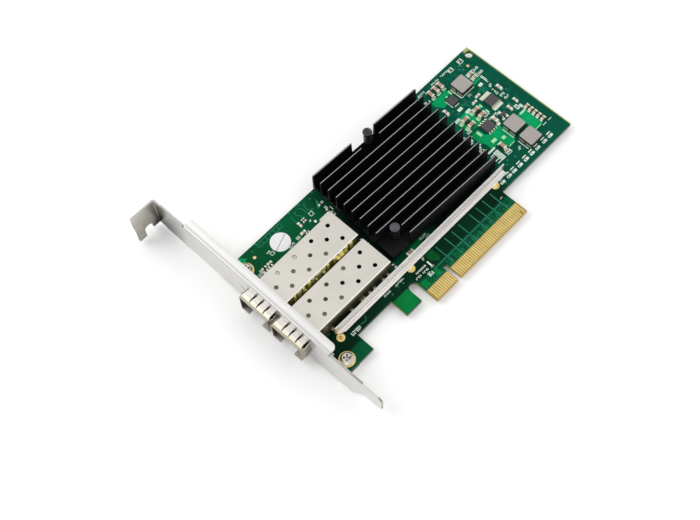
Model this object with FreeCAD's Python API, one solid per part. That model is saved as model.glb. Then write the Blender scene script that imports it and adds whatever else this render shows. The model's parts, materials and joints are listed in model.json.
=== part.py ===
import FreeCAD, Part
import math
import os

# Dual-port network interface card with its full-height bracket. Millimetres.
# Frame: X runs from the bracket to the far end of the board, Y from the edge
# connector to the board's upper edge, Z out of the component side.
# Origin: middle of the key notch, at the tips of the edge contacts, on the
# component face of the board.

# ---------------------------------------------------------------- edge connector
contact_pitch = 1.0
contact_width = 0.7
contact_length = 5.1
contact_tip_setback = 0.5        # from the finger edge to the gold
contact_thickness = 0.05
contact_count = 49
contacts_before_key = 11
key_width = 1.9
key_depth = 8.2
contact_to_key = 1.5             # key centre to the nearest contact centre
finger_margin = 1.1              # board beyond the outermost contact centre
short_contact_setback = 1.6      # presence-detect contacts mate last
short_contact_top = 48           # counted from the bracket
short_contact_bottom = 1
bevel_depth = 0.4
bevel_run = 0.5

# ---------------------------------------------------------------- board
board_thickness = 1.57
board_setback = 1.8              # bracket's outer face to the board's near edge
lower_edge_y = 12.9
near_tab_length = 15.5
near_tab_y = 4.6
tab_gap_length = 18.65
hook_tab_length = 8.15
hook_slot_width = 4.14
hook_slot_depth_y = 12.5         # rounded top of the slot beside the hook tab
component_field_length = 36.5    # board beyond the heat sink
hole_sides = 16                  # facets of the holes that other pieces cover
board_corner_radius = 0.3
corner_hole_radius = 1.65
corner_hole_inset_x = 2.2
corner_hole_inset_y = 3.2
upper_margin = 1.8               # heat sink to the board's upper edge

# ---------------------------------------------------------------- bracket
key_to_bracket = 60.84           # key centre to the bracket's outer face
sheet = 0.86
plate_width = 18.42
plate_low_z = -2.43
plate_length = 120.02
plate_low_y = -14.8
screw_tab_length = 11.43
screw_tab_relief = 0.9           # tab and fold are narrower than the plate
screw_tab_relief_length = 4.6
screw_notch_offset = 5.6         # plate to the middle of the notch
screw_notch_width = 4.5
screw_notch_depth = 4.3
flange_width = 4.5
flange_low_y = 10.0
flange_high_y = 87.2
flange_low_radius = 2.0
flange_high_radius = 0.8
flange_bend_radius = 0.7
flange_slit_width = 0.45
flange_slit_depth = 1.5
fork_leg_start_z = 8.4           # the outer leg of the tab's fork is stepped
fork_leg_run = 2.8
fork_leg_step = 1.0
tongue_width = 10.19
tongue_length = 9.4
tongue_shoulder = 4.6            # run of the slanted shoulders
tongue_tip_chamfer = 1.6
tongue_step = 1.1                # the tongue is stepped towards the card
ear_length = 11.4
ear_width = 8.4
ear_corner_radius = 2.0
bend_radius_in = 0.35

# ---------------------------------------------------------------- bracket screws
screw_radius = 1.45
screw_head_radius = 2.7
screw_head_height = 1.7
screw_tip_length = 0.6           # thread standing out under the ear
screw_clearance = 0.2
screw_recess_width = 0.75
screw_recess_length = 3.0
screw_recess_depth = 1.0
screw_crown_ratio = 0.72         # crown's radius to the head's
screw_shoulder_ratio = 0.6       # shoulder's height to the head's
screw_sides = 20
screw_x_from_bracket = 7.5
lower_screw_inset_y = 4.2        # from the near tab's lower edge
upper_screw_inset_y = 5.9        # from the board's upper edge
screw_pad_radius = 3.3

# ---------------------------------------------------------------- cages
cage_count = 2
cage_width = 14.8
cage_height = 9.8
cage_length = 49.2
cage_nose = 4.5                  # length standing out of the bracket
cage_sheet = 0.3
cage_fold_radius = 0.45
cage_pitch = 17.0
cage_to_bar = 2.0
vent_radius = 0.9
vent_sides = 12
vent_pitch_x = 9.1
vent_pitch_y = 3.95
vent_columns = 4
vent_first_x = 12.35             # from the bracket's outer face
vent_stagger = 4.55
port_clearance = 0.35            # cage to the bracket's opening
base_rear_gap = 13.5             # open stretch of the floor at the host connector
latch_length = 2.2
latch_width = 4.4
latch_tip_width = 3.0
latch_hole_radius = 0.85
nose_opening_width = 7.0         # the nose is open below, between two lugs
pin_width = 0.9
pin_length = 1.1                 # below the solder side
pin_hole_clearance = 0.12
pin_hole_sides = 8
pins_per_side = 4
pin_first_x = 8.0
pin_pitch_x = 10.4
flap_length = 5.0                # folded corner at the outer rear of the pair
flap_inset = 0.3
flap_height = 2.4
flap_reach = 0.95

# ---------------------------------------------------------------- spring collars
collar_sheet = 0.15
collar_band = 1.3
finger_rise = 0.75
finger_tail = 0.6                # finger beyond the bracket's inner face
finger_slit = 0.3                # at the band, between two fingers
finger_taper = 0.45              # each finger narrows towards its tip, per side
fingers_on_top = 4
fingers_on_side = 3
finger_first_width = 4.4         # the top finger at the upper side is wider
finger_contact_gap = 0.05

# ---------------------------------------------------------------- host connectors
host_width = 11.2
host_height = 6.4
host_length = 9.2
host_slot_width = 9.6
host_slot_height = 1.3
host_slot_depth = 6.0
host_slot_z = 3.4
host_rear_gap = 1.2

# ---------------------------------------------------------------- link lights
light_z = 6.5
light_radius = 1.3
light_clearance = 0.15
light_body_length = 4.0
light_body_width = 3.0
light_body_top = 1.6             # body above the light's axis
light_offset = 2.75              # cage wall to the light's axis

# ---------------------------------------------------------------- controller
chip_side = 25.0
chip_substrate_height = 1.2
chip_lid_side = 21.0
chip_lid_height = 0.9
pad_thickness = 0.2

# ---------------------------------------------------------------- heat sink
sink_gap_x = 4.7                 # cage's rear wall to the sink
sink_gap_y = 3.2                 # stiffener bar to the sink
sink_length = 57.0
sink_base = 2.0
fin_count = 11
fin_pitch = 4.4
fin_height = 7.9
fin_tip_thickness = 0.4
fin_root_thickness = 1.0
fin_end_chamfer = 0.7            # upper corners at the far end
sink_skew = -2.27                # degrees, within the play of its push pins
pin_pocket_radius = 6.2
pin_pocket_offset = -2.1         # pocket's middle from the pin, along the fins
corner_pocket_clearance = 2.5    # from the pin's axis
pocket_corner_radius = 1.0

# ---------------------------------------------------------------- push pins
push_head_radius = 2.0
push_head_height = 1.1
push_head_top = 12.3
push_shaft_radius = 1.1
push_hole_clearance = 0.3
push_barb_radius = 1.75
push_barb_length = 1.9
push_slot_width = 0.5
push_tip_ratio = 0.6             # tip's radius to the shaft's
push_barb_land = 0.05            # barb's shoulder below the board
push_barb_edge = 0.35            # height of the barb's widest ring
push_dome_inset = 0.4
push_dome_height = 0.3
push_sides = 20
push_1_x = 0.8                   # from the sink's middle, along the fins
push_1_inset = 1.2               # from the sink's edge, across the fins
push_2_inset_x = 6.9
push_2_inset_y = 6.0
spring_wire_radius = 0.22
spring_radius = 1.6
spring_turns = 4
spring_steps = 12                # straight runs in one turn
spring_wire_sides = 4

# ---------------------------------------------------------------- stiffener bar
bar_sheet = 0.6
bar_width = 2.4
bar_back_height = 5.6
bar_front_height = 1.2
bar_to_edge = 3.7                # board's lower edge to the bar
bar_start = 10.9                 # from the bracket's outer face
bar_end_inset = 35.3             # board's far end to the bar's far end
bar_nose_cut = 4.1               # the near end is cut slantwise
bar_nose_rest = 0.4              # square part of that end, at the back wall
ring_outer_radius = 1.7
ring_inner_radius = 0.9
ring_barrel = 0.1
ring_thickness = 0.06
ring_sides = 20
ring_inset_y = 3.7               # board's lower edge to the plated holes
ring_first_x = 12.2
ring_pitch_x = 39.0
ring_third_x = 100.6
leg_width = 0.8
leg_length = 1.0                 # below the solder side

# ---------------------------------------------------------------- power parts
inductor_side = 6.7
inductor_height = 3.0
inductor_waist_inset = 0.3       # the body is narrower below its cap
inductor_waist_top = 1.6
inductor_corner = 0.4
inductor_inset_x = 16.6          # board's far end to the inductors' middle
inductor_1_inset_y = 11.9        # board's upper edge to the middle
inductor_2_rise = 16.0           # board's lower edge to the middle
inductor_3_rise = 7.5
terminal_width = 2.6
terminal_thickness = 0.15
terminal_height = 1.4            # up the side of the waist

# ---------------------------------------------------------------- small packages
regulator_side = 3.8
regulator_height = 0.9
regulator_inset_x = 24.1
regulator_inset_y = 13.5
logic_length = 5.0
logic_width = 4.4
logic_height = 1.05
logic_lead_count = 8
logic_lead_pitch = 0.65
logic_lead_reach = 1.0
logic_inset_x = 13.3
logic_inset_y = 25.2
memory_length = 4.9
memory_width = 4.6
memory_height = 1.2
memory_lead_count = 4
memory_lead_pitch = 1.27
memory_lead_reach = 0.8
memory_inset_x = 23.7
memory_inset_y = 32.4
transistor_length = 2.9
transistor_width = 1.5
transistor_height = 1.1
transistor_lead_pitch = 1.9
transistor_lead_width = 0.5
transistor_lead_reach = 0.8
transistor_inset_x = 15.4
transistor_inset_y = 33.1
lead_thickness = 0.15
lead_width_ratio = 0.45
lead_knee_ratio = 0.4            # knee's reach to the toe's
package_chamfer_ratio = 0.15     # chamfer to the package's height
standoff = 0.1

# ---------------------------------------------------------------- chip capacitors
large_cap = (3.2, 1.6, 1.25, 0.5)    # length, width, height, plated end
small_cap = (2.0, 1.25, 0.85, 0.4)
cap_end_skin = 0.03
cap_trio_inset_y = 4.9           # three across the board, by the first inductor
cap_trio_insets_x = [22.1, 24.8, 27.9]
cap_block_insets_y = [23.5, 26.9]    # block of four along the board
cap_block_insets_x = [21.1, 27.6]
cap_feed_inset_x = 26.7          # one across the board, by the memory package
cap_feed_inset_y = 42.7
cap_ladder_inset_x = 5.7         # ladder of five beside the inductors
cap_ladder_inset_y = 46.2
cap_ladder_pitch = 2.15
cap_ladder_count = 5
cap_pair_inset_x = 9.3           # two by the first inductor
cap_pair_insets_y = [10.2, 12.6]
cap_single_x = 6.4               # from the sink's near edge
cap_single_gap_y = 1.0           # from the sink to its middle

# ---------------------------------------------------------------- sticker
sticker_radius = 4.2
sticker_thickness = 0.1
sticker_sides = 32
sticker_x = 25.2                 # from the bracket's outer face
sticker_inset_y = 7.1            # from the board's upper edge

# ---------------------------------------------------------------- worked out
bracket_x = -key_to_bracket
board_near_x = bracket_x + board_setback
solder_z = -board_thickness
cage_front_x = bracket_x - cage_nose
cage_rear_x = cage_front_x + cage_length
bar_front_y = lower_edge_y + bar_to_edge
bar_back_y = bar_front_y + bar_width
first_cage_y = bar_back_y + cage_to_bar + cage_width / 2
cage_ys = [first_cage_y + cage_pitch * i for i in reversed(range(cage_count))]
sink_width = fin_pitch * (fin_count - 1) + fin_root_thickness
sink_near_x = cage_rear_x + sink_gap_x
sink_x = sink_near_x + sink_length / 2
sink_y = bar_back_y + sink_gap_y + sink_width / 2
board_top_y = sink_y + sink_width / 2 + upper_margin
board_far_x = sink_near_x + sink_length + component_field_length
chip_top_z = chip_substrate_height + chip_lid_height
sink_base_z = chip_top_z + pad_thickness
sink_floor_z = sink_base_z + sink_base
sink_top_z = sink_floor_z + fin_height
contacts_after_key = contact_count - contacts_before_key
finger_near_x = -contact_to_key - contact_pitch * (contacts_before_key - 1) - finger_margin
finger_far_x = contact_to_key + contact_pitch * (contacts_after_key - 1) + finger_margin
hook_near_x = finger_near_x - hook_slot_width - hook_tab_length
plate_high_z = plate_low_z + plate_width
plate_high_y = plate_low_y + plate_length
lower_screw = (bracket_x + screw_x_from_bracket, near_tab_y + lower_screw_inset_y)
upper_screw = (bracket_x + screw_x_from_bracket, board_top_y - upper_screw_inset_y)
ring_y = lower_edge_y + ring_inset_y
ring_xs = [bracket_x + ring_first_x, bracket_x + ring_first_x + ring_pitch_x, bracket_x + ring_third_x]
shoulder_y = plate_low_y + tongue_length + tongue_shoulder
notch_x = bracket_x - screw_notch_offset

os.makedirs("parts", exist_ok=True)


# ---------------------------------------------------------------- helpers
def vec(x, y, z):
    return FreeCAD.Vector(x, y, z)


def block(x0, x1, y0, y1, z0, z1):
    return Part.makeBox(x1 - x0, y1 - y0, z1 - z0, vec(x0, y0, z0))


def rod(x, y, z0, z1, radius):
    return Part.makeCylinder(radius, z1 - z0, vec(x, y, z0))


def facet_rod(x, y, z0, z1, radius, sides):
    """Upright prism with the given number of sides, as wide over its corners as the circle."""
    turns = [2 * math.pi * (i + 0.5) / sides for i in range(sides)]
    corners = [(x + radius * math.cos(t), y + radius * math.sin(t)) for t in turns]
    return flat(corners, z0, z1)


def prism(points, direction):
    """Solid swept from a closed outline of straight edges."""
    wire = Part.makePolygon([vec(*p) for p in points] + [vec(*points[0])])
    return Part.Face(wire).extrude(vec(*direction))


def flat(points, z0, z1):
    return prism([(x, y, z0) for x, y in points], (0, 0, z1 - z0))


def joined(shapes):
    result = shapes[0].multiFuse(shapes[1:]) if len(shapes) > 1 else shapes[0]
    return result.removeSplitter()


def rounded(shape, radius, wanted):
    """Fillet the edges whose middle point satisfies wanted(point)."""
    edges = [e for e in shape.Edges if wanted(e.valueAt((e.FirstParameter + e.LastParameter) / 2), e)]
    return shape.makeFillet(radius, edges)


def is_along(edge, direction):
    ends = edge.Vertexes
    if len(ends) != 2:
        return False
    run = ends[1].Point - ends[0].Point
    return run.Length > 0 and abs(run.dot(direction)) / run.Length > 0.999


def close(a, b):
    return abs(a - b) < 0.01


def save(name, solids):
    shape = solids[0] if len(solids) == 1 else Part.makeCompound(solids)
    shape.exportStep("parts/" + name + ".step")


def skinned(rings):
    """Closed solid through rings of corners, with flat triangular facets."""
    faces = [Part.Face(Part.makePolygon(end + end[:1])) for end in (rings[0], rings[-1])]
    count = len(rings[0])
    for lower, upper in zip(rings, rings[1:]):
        for k in range(count):
            n = (k + 1) % count
            faces.append(Part.Face(Part.makePolygon([lower[k], lower[n], upper[n], lower[k]])))
            faces.append(Part.Face(Part.makePolygon([lower[k], upper[n], upper[k], lower[k]])))
    solid = Part.Solid(Part.Shell(faces))
    solid.fix(0.001, 0.001, 0.001)
    return solid


def lathed(profile, sides):
    """Faceted solid of revolution about Z through (radius, z) corners, flat at both ends."""
    turns = [2 * math.pi * (i + 0.5) / sides for i in range(sides)]
    return skinned([[vec(r * math.cos(t), r * math.sin(t), z) for t in turns] for r, z in profile])


AXIS_X = vec(1, 0, 0)
AXIS_Y = vec(0, 1, 0)
AXIS_Z = vec(0, 0, 1)


def in_sink_frame(shape):
    """Place a shape drawn about the heat sink's middle, askew as the sink sits."""
    placed = shape.copy()
    placed.rotate(vec(0, 0, 0), AXIS_Z, sink_skew)
    placed.translate(vec(sink_x, sink_y, 0))
    return placed


def sink_point(x, y):
    angle = math.radians(sink_skew)
    return (sink_x + x * math.cos(angle) - y * math.sin(angle),
            sink_y + x * math.sin(angle) + y * math.cos(angle))


push_1 = (push_1_x, sink_width / 2 - push_1_inset)
push_2 = (-sink_length / 2 + push_2_inset_x, -sink_width / 2 + push_2_inset_y)
push_pins = [push_1, push_2]


# ---------------------------------------------------------------- board
def cage_pin_points(cage_y):
    """Press-fit pins along both side walls of a cage."""
    points = []
    for side in (-1, 1):
        for i in range(pins_per_side):
            x = bracket_x + pin_first_x + pin_pitch_x * i
            points.append((x, cage_y + side * (cage_width - cage_sheet) / 2))
    return points


def slot_cut(x, width, top_y, z0, z1):
    """Slot open at the finger edge, with a round upper end."""
    radius = width / 2
    straight = block(x - radius, x + radius, -1, top_y - radius, z0, z1)
    return straight.fuse(rod(x, top_y - radius, z0, z1, radius))


def make_board():
    z0, z1 = solder_z, 0
    outline = [
        (board_near_x, board_top_y), (board_near_x, near_tab_y),
        (board_near_x + near_tab_length, near_tab_y),
        (board_near_x + near_tab_length, lower_edge_y),
        (hook_near_x, lower_edge_y), (hook_near_x, near_tab_y),
        (hook_near_x + hook_tab_length, near_tab_y),
        (hook_near_x + hook_tab_length, near_tab_y / 2),
        (finger_near_x, near_tab_y / 2), (finger_near_x, 0),
        (finger_far_x, 0), (finger_far_x, lower_edge_y),
        (board_far_x, lower_edge_y), (board_far_x, board_top_y),
    ]
    board = flat(outline, z0, z1)
    board = rounded(board, board_corner_radius,
                    lambda p, e: is_along(e, AXIS_Z) and p.x > board_far_x - 0.01)
    over = 1
    hook_slot_x = finger_near_x - hook_slot_width / 2
    cuts = [
        slot_cut(hook_slot_x, hook_slot_width, hook_slot_depth_y, z0 - over, z1 + over),
        slot_cut(0, key_width, key_depth, z0 - over, z1 + over),
        rod(board_far_x - corner_hole_inset_x, board_top_y - corner_hole_inset_y,
            z0 - over, z1 + over, corner_hole_radius),
    ]
    covered = [(x, y, screw_radius + screw_clearance) for x, y in (lower_screw, upper_screw)]
    covered += [sink_point(*pin) + (push_shaft_radius + push_hole_clearance,) for pin in push_pins]
    for x, y, radius in covered:
        cuts.append(facet_rod(x, y, z0 - over, z1 + over, radius, hole_sides))
    for x in ring_xs:
        cuts.append(facet_rod(x, ring_y, z0 - over, z1 + over, ring_inner_radius + ring_barrel, ring_sides))
    pin_hole = pin_width / 2 + pin_hole_clearance
    for cage_y in cage_ys:
        for x, y in cage_pin_points(cage_y):
            cuts.append(facet_rod(x, y, z0 - over, z1 + over, pin_hole, pin_hole_sides))
    for z, step in ((z0, 1), (z1, -1)):
        cuts.append(prism([(finger_near_x - over, 0, z), (finger_near_x - over, 0, z + step * bevel_depth),
                           (finger_near_x - over, bevel_run, z)],
                          (finger_far_x - finger_near_x + 2 * over, 0, 0)))
    for cut in cuts:
        board = board.cut(cut)
    return [board.removeSplitter()]


def make_contacts(z0, z1, short_one):
    """One gold pad per contact; short_one is the number of the one that mates last."""
    pads = []
    for n in range(1, contact_count + 1):
        if n <= contacts_before_key:
            x = -contact_to_key - contact_pitch * (contacts_before_key - n)
        else:
            x = contact_to_key + contact_pitch * (n - contacts_before_key - 1)
        start = contact_tip_setback + (short_contact_setback if n == short_one else 0)
        pads.append(block(x - contact_width / 2, x + contact_width / 2,
                          start, contact_tip_setback + contact_length, z0, z1))
    return pads


def washer(x, y, z0, z1, outer, inner):
    return facet_rod(x, y, z0, z1, outer, ring_sides).cut(facet_rod(x, y, z0 - 1, z1 + 1, inner, ring_sides))


def make_rings():
    """Plated holes with a land on both faces, and the lands under the screw heads."""
    rings = []
    for x in ring_xs:
        upper = washer(x, ring_y, 0, ring_thickness, ring_outer_radius, ring_inner_radius)
        barrel = washer(x, ring_y, solder_z, 0, ring_inner_radius + ring_barrel, ring_inner_radius)
        lower = washer(x, ring_y, solder_z - ring_thickness, solder_z, ring_outer_radius, ring_inner_radius)
        rings.append(joined([upper, barrel, lower]))
    for x, y in (lower_screw, upper_screw):
        rings.append(washer(x, y, 0, ring_thickness, screw_pad_radius, screw_radius + screw_clearance))
    return rings


# ---------------------------------------------------------------- bracket
def make_tongue():
    """Slanted shoulders and the tongue, which is stepped towards the card."""
    x0, x1 = bracket_x, bracket_x + sheet
    neck_y = shoulder_y - tongue_shoulder
    mid_z = (plate_low_z + plate_high_z) / 2
    half = tongue_width / 2
    tip = tongue_tip_chamfer
    outline = [
        (shoulder_y, plate_high_z), (neck_y, mid_z + half),
        (plate_low_y + tip, mid_z + half), (plate_low_y, mid_z + half - tip),
        (plate_low_y, mid_z - half + tip), (plate_low_y + tip, mid_z - half),
        (neck_y, mid_z - half), (shoulder_y, plate_low_z),
    ]
    shape = prism([(x0, y, z) for y, z in outline], (sheet + tongue_step, 0, 0))
    near, far = x0 + tongue_step, x1 + tongue_step
    profile = [(x0, shoulder_y), (x1, shoulder_y), (far, neck_y), (far, plate_low_y),
               (near, plate_low_y), (near, neck_y)]
    return shape.common(flat(profile, plate_low_z, plate_high_z))


def make_fork_leg(x0, x1):
    """Outer leg of the tab's fork, stepped down from the tab's plane."""
    outer, inner = plate_high_y, plate_high_y - sheet
    bend_z = fork_leg_start_z - fork_leg_run
    low = plate_low_z + screw_tab_relief
    profile = [(inner, fork_leg_start_z), (outer, fork_leg_start_z), (outer - fork_leg_step, bend_z),
               (outer - fork_leg_step, low), (inner - fork_leg_step, low), (inner - fork_leg_step, bend_z)]
    return prism([(x0, y, z) for y, z in profile], (x1 - x0, 0, 0))


def make_bracket():
    x0, x1 = bracket_x, bracket_x + sheet
    plate = block(x0, x1, shoulder_y, plate_high_y, plate_low_z, plate_high_z)
    tab = block(x0 - screw_tab_length, x1, plate_high_y - sheet, plate_high_y, plate_low_z, plate_high_z)
    flange = block(x0, x0 + flange_width, flange_low_y, flange_high_y, plate_high_z - sheet, plate_high_z)
    ears = []
    for x, y in (lower_screw, upper_screw):
        ear = block(x0, x0 + ear_length, y - ear_width / 2, y + ear_width / 2, plate_low_z, solder_z)
        ear = rounded(ear, ear_corner_radius,
                      lambda p, e: is_along(e, AXIS_Z) and p.x > x0 + ear_length - 0.01)
        ears.append(ear)
    body = joined([plate, tab, flange] + ears)

    # the tab and its fold are narrower than the plate on both sides
    relief_y = plate_high_y - screw_tab_relief_length
    far = screw_tab_length + 1
    for low, high in ((plate_low_z - 1, plate_low_z + screw_tab_relief),
                      (plate_high_z - screw_tab_relief, plate_high_z + 1)):
        body = body.cut(block(x0 - far, x1 + 1, relief_y, plate_high_y + 1, low, high))

    # open notch for the chassis screw, beside the stepped leg
    radius = screw_notch_width / 2
    notch_top = plate_low_z + screw_tab_relief + screw_notch_depth - radius
    notch = block(notch_x - radius, notch_x + radius, plate_high_y - sheet - 1, plate_high_y + 1,
                  plate_low_z - 1, notch_top)
    notch_end = facet_rod(0, 0, -1, sheet + 1, radius, hole_sides)
    notch_end.rotate(vec(0, 0, 0), AXIS_X, 90)
    notch_end.translate(vec(notch_x, plate_high_y, notch_top))
    body = body.cut(notch.fuse(notch_end))
    leg_x = x0 - screw_tab_length
    body = body.cut(block(leg_x - 1, notch_x - radius, plate_high_y - sheet - 1, plate_high_y + 1,
                          plate_low_z - 1, fork_leg_start_z))
    body = joined([body, make_fork_leg(leg_x, notch_x - radius)])

    # slits at both ends of the flange, then its corners and the bends
    slit_z = plate_high_z - flange_slit_depth
    for y in (flange_low_y - flange_slit_width, flange_high_y):
        body = body.cut(block(x0 - 1, x1 + 1, y, y + flange_slit_width, slit_z, plate_high_z + 1))
    edge_x = x0 + flange_width
    for radius, y in ((flange_low_radius, flange_low_y), (flange_high_radius, flange_high_y)):
        body = rounded(body, radius,
                       lambda p, e: is_along(e, AXIS_Z) and close(p.x, edge_x) and close(p.y, y))
    body = rounded(body, flange_bend_radius,
                   lambda p, e: is_along(e, AXIS_Y) and close(p.x, x0) and close(p.z, plate_high_z)
                   and flange_low_y < p.y < flange_high_y)
    body = rounded(body, sheet + bend_radius_in,
                   lambda p, e: is_along(e, AXIS_Z) and close(p.x, x1) and close(p.y, plate_high_y))
    body = rounded(body, bend_radius_in,
                   lambda p, e: is_along(e, AXIS_Z) and close(p.x, x0) and close(p.y, plate_high_y - sheet))
    body = joined([body, make_tongue()])

    # openings for the cages and lights, threaded holes in the ears
    gap = port_clearance + finger_contact_gap
    for cage_y in cage_ys:
        half = cage_width / 2 + gap
        body = body.cut(block(x0 - 1, x1 + 1, cage_y - half, cage_y + half, -gap, cage_height + gap))
    for light_y in light_ys():
        hole = facet_rod(0, 0, -1, sheet + 1, light_radius + light_clearance, hole_sides)
        hole.rotate(vec(0, 0, 0), AXIS_Y, 90)
        hole.translate(vec(x0, light_y, light_z))
        body = body.cut(hole)
    for x, y in (lower_screw, upper_screw):
        body = body.cut(facet_rod(x, y, plate_low_z - 1, solder_z + 1, screw_radius, screw_sides))
    return [body.removeSplitter()]


def make_screws():
    screws = []
    low, seat, top = plate_low_z - screw_tip_length, ring_thickness, ring_thickness + screw_head_height
    profile = [(screw_radius, low), (screw_radius, seat), (screw_head_radius, seat),
               (screw_head_radius, seat + screw_head_height * screw_shoulder_ratio),
               (screw_head_radius * screw_crown_ratio, top)]
    for x, y in (lower_screw, upper_screw):
        screw = lathed(profile, screw_sides)
        for turn in (45, 135):
            slot = block(-screw_recess_length / 2, screw_recess_length / 2, -screw_recess_width / 2,
                         screw_recess_width / 2, top - screw_recess_depth, top + 1)
            slot.rotate(vec(0, 0, 0), AXIS_Z, turn)
            screw = screw.cut(slot)
        screw.translate(vec(x, y, 0))
        screws.append(screw)
    return screws


# ---------------------------------------------------------------- cages
def vent_points(cage_y):
    """Staggered rows: the middle row sits half a pitch nearer the bracket."""
    points = []
    for row in (-1, 0, 1):
        start = bracket_x + vent_first_x - (vent_stagger if row == 0 else 0)
        for i in range(vent_columns):
            points.append((start + vent_pitch_x * i, cage_y + row * vent_pitch_y))
    return points


def make_cage_shell(cage_y, with_flap):
    """Folded cover: roof, two side walls, rear wall and pins, and on the outer one a folded corner."""
    half = cage_width / 2
    shell = block(cage_front_x, cage_rear_x, cage_y - half, cage_y + half, 0, cage_height)
    shell = rounded(shell, cage_fold_radius,
                    lambda p, e: is_along(e, AXIS_X) and close(p.z, cage_height))
    inner = half - cage_sheet
    shell = shell.cut(block(cage_front_x - 1, cage_rear_x - cage_sheet, cage_y - inner, cage_y + inner,
                            -1, cage_height - cage_sheet))
    under_roof = cage_height - 2 * cage_sheet
    for x, y in vent_points(cage_y):
        shell = shell.cut(facet_rod(x, y, under_roof, cage_height + 1, vent_radius, vent_sides))
    extras = []
    for x, y in cage_pin_points(cage_y):
        extras.append(block(x - pin_width / 2, x + pin_width / 2, y - cage_sheet / 2, y + cage_sheet / 2,
                            solder_z - pin_length, cage_sheet))
    if with_flap:
        x1 = cage_rear_x - flap_inset
        top = under_roof
        wall = cage_y + half
        extras.append(block(x1 - flap_length, x1, wall, wall + flap_reach, top - cage_sheet, top))
        extras.append(block(x1 - flap_length, x1, wall + flap_reach - cage_sheet, wall + flap_reach,
                            top - flap_height, top))
    return [joined([shell] + extras)]


def make_cage_base(cage_y):
    """Floor of the port, open in the middle of the nose, with the latch tongue for the module."""
    inner = cage_width / 2 - cage_sheet
    lip = bracket_x + sheet
    floor = block(cage_front_x, cage_rear_x - base_rear_gap, cage_y - inner, cage_y + inner, 0, cage_sheet)
    notch = nose_opening_width / 2
    floor = floor.cut(block(cage_front_x - 1, lip + latch_length, cage_y - notch, cage_y + notch, -1, 1))
    root_x = lip + 2 * latch_length
    root, tip = latch_width / 2, latch_tip_width / 2
    tongue = flat([(root_x, cage_y - root), (root_x, cage_y + root),
                   (bracket_x, cage_y + tip), (bracket_x, cage_y - tip)], 0, cage_sheet)
    tongue = tongue.cut(facet_rod(bracket_x + latch_length, cage_y, -1, 1, latch_hole_radius, vent_sides))
    return [joined([floor, tongue])]


def bowed_finger(width):
    """Finger of a collar, drawn along X with its outer side up: bows out, then dips into the opening."""
    t = collar_sheet
    base_x = cage_front_x + collar_band / 2
    crest_x = (cage_front_x + bracket_x) / 2
    tip_x = bracket_x + sheet + finger_tail
    profile = [(base_x, 0), (crest_x, finger_rise), (bracket_x, port_clearance), (tip_x, 2 * t),
               (tip_x, t), (bracket_x, port_clearance - t), (crest_x, finger_rise - t),
               (cage_front_x + collar_band, 0)]
    half = width / 2
    sheet_strip = prism([(x, -half, rise) for x, rise in profile], (0, width, 0))
    tip = half - finger_taper
    plan = flat([(base_x, -half), (tip_x, -tip), (tip_x, tip), (base_x, half)], -1, 2)
    return sheet_strip.common(plan)


def make_collar(cage_y):
    """Grounding spring: a band round the nose with bowed fingers on every side."""
    half = cage_width / 2
    band_end = cage_front_x + collar_band
    t = collar_sheet
    notch = nose_opening_width / 2
    outer = block(cage_front_x, band_end, cage_y - half - t, cage_y + half + t, -t, cage_height + t)
    band = outer.cut(block(cage_front_x - 1, band_end + 1, cage_y - half, cage_y + half, 0, cage_height))
    band = band.cut(block(cage_front_x - 1, band_end + 1, cage_y - notch, cage_y + notch, -1, 0))
    placed = []
    edges = [half - finger_first_width - (2 * half - finger_first_width) * i / (fingers_on_top - 1)
             for i in range(fingers_on_top)]
    for high, low in zip([half] + edges, edges):
        placed.append((0, high - low, (high + low) / 2, cage_height))
    for side in (-1, 1):
        placed.append((180, half - notch, side * (half + notch) / 2, 0))
    step = cage_height / fingers_on_side
    for i in range(fingers_on_side):
        for side in (-1, 1):
            placed.append((-90 * side, step, side * half, step * (i + 0.5)))
    fingers = []
    for turn, pitch, y, z in placed:
        finger = bowed_finger(pitch - finger_slit)
        finger.rotate(vec(0, 0, 0), AXIS_X, turn)
        finger.translate(vec(0, cage_y + y, z))
        fingers.append(finger)
    return [joined([band] + fingers)]


def make_host_connector(cage_y):
    x1 = cage_rear_x - cage_sheet - host_rear_gap
    x0 = x1 - host_length
    half = host_width / 2
    body = block(x0, x1, cage_y - half, cage_y + half, 0, host_height)
    slot_half = host_slot_width / 2
    body = body.cut(block(x0 - 1, x0 + host_slot_depth, cage_y - slot_half, cage_y + slot_half,
                          host_slot_z, host_slot_z + host_slot_height))
    body = body.makeChamfer(host_slot_height / 2,
                            [e for e in body.Edges if is_along(e, AXIS_Y) and close(e.CenterOfMass.x, x0)
                             and close(e.CenterOfMass.z, host_height)])
    return [body]


# ---------------------------------------------------------------- link lights
def light_ys():
    outer = cage_width / 2 + light_offset
    return [cage_ys[0] + outer, cage_ys[-1] - outer]


def make_light_bodies():
    x0 = board_near_x + light_clearance
    x1 = x0 + light_body_length
    half = light_body_width / 2
    return [block(x0, x1, y - half, y + half, 0, light_z + light_body_top) for y in light_ys()]


def make_light_lenses():
    lenses = []
    for y in light_ys():
        lens = facet_rod(0, 0, 0, board_near_x + light_clearance - bracket_x, light_radius, hole_sides)
        lens.rotate(vec(0, 0, 0), AXIS_Y, 90)
        lens.translate(vec(bracket_x, y, light_z))
        lenses.append(lens)
    return lenses


# ---------------------------------------------------------------- controller and heat sink
def under_sink(side, z0, z1):
    """Square block under the middle of the heat sink, square to the board."""
    return block(sink_x - side / 2, sink_x + side / 2, sink_y - side / 2, sink_y + side / 2, z0, z1)


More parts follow.
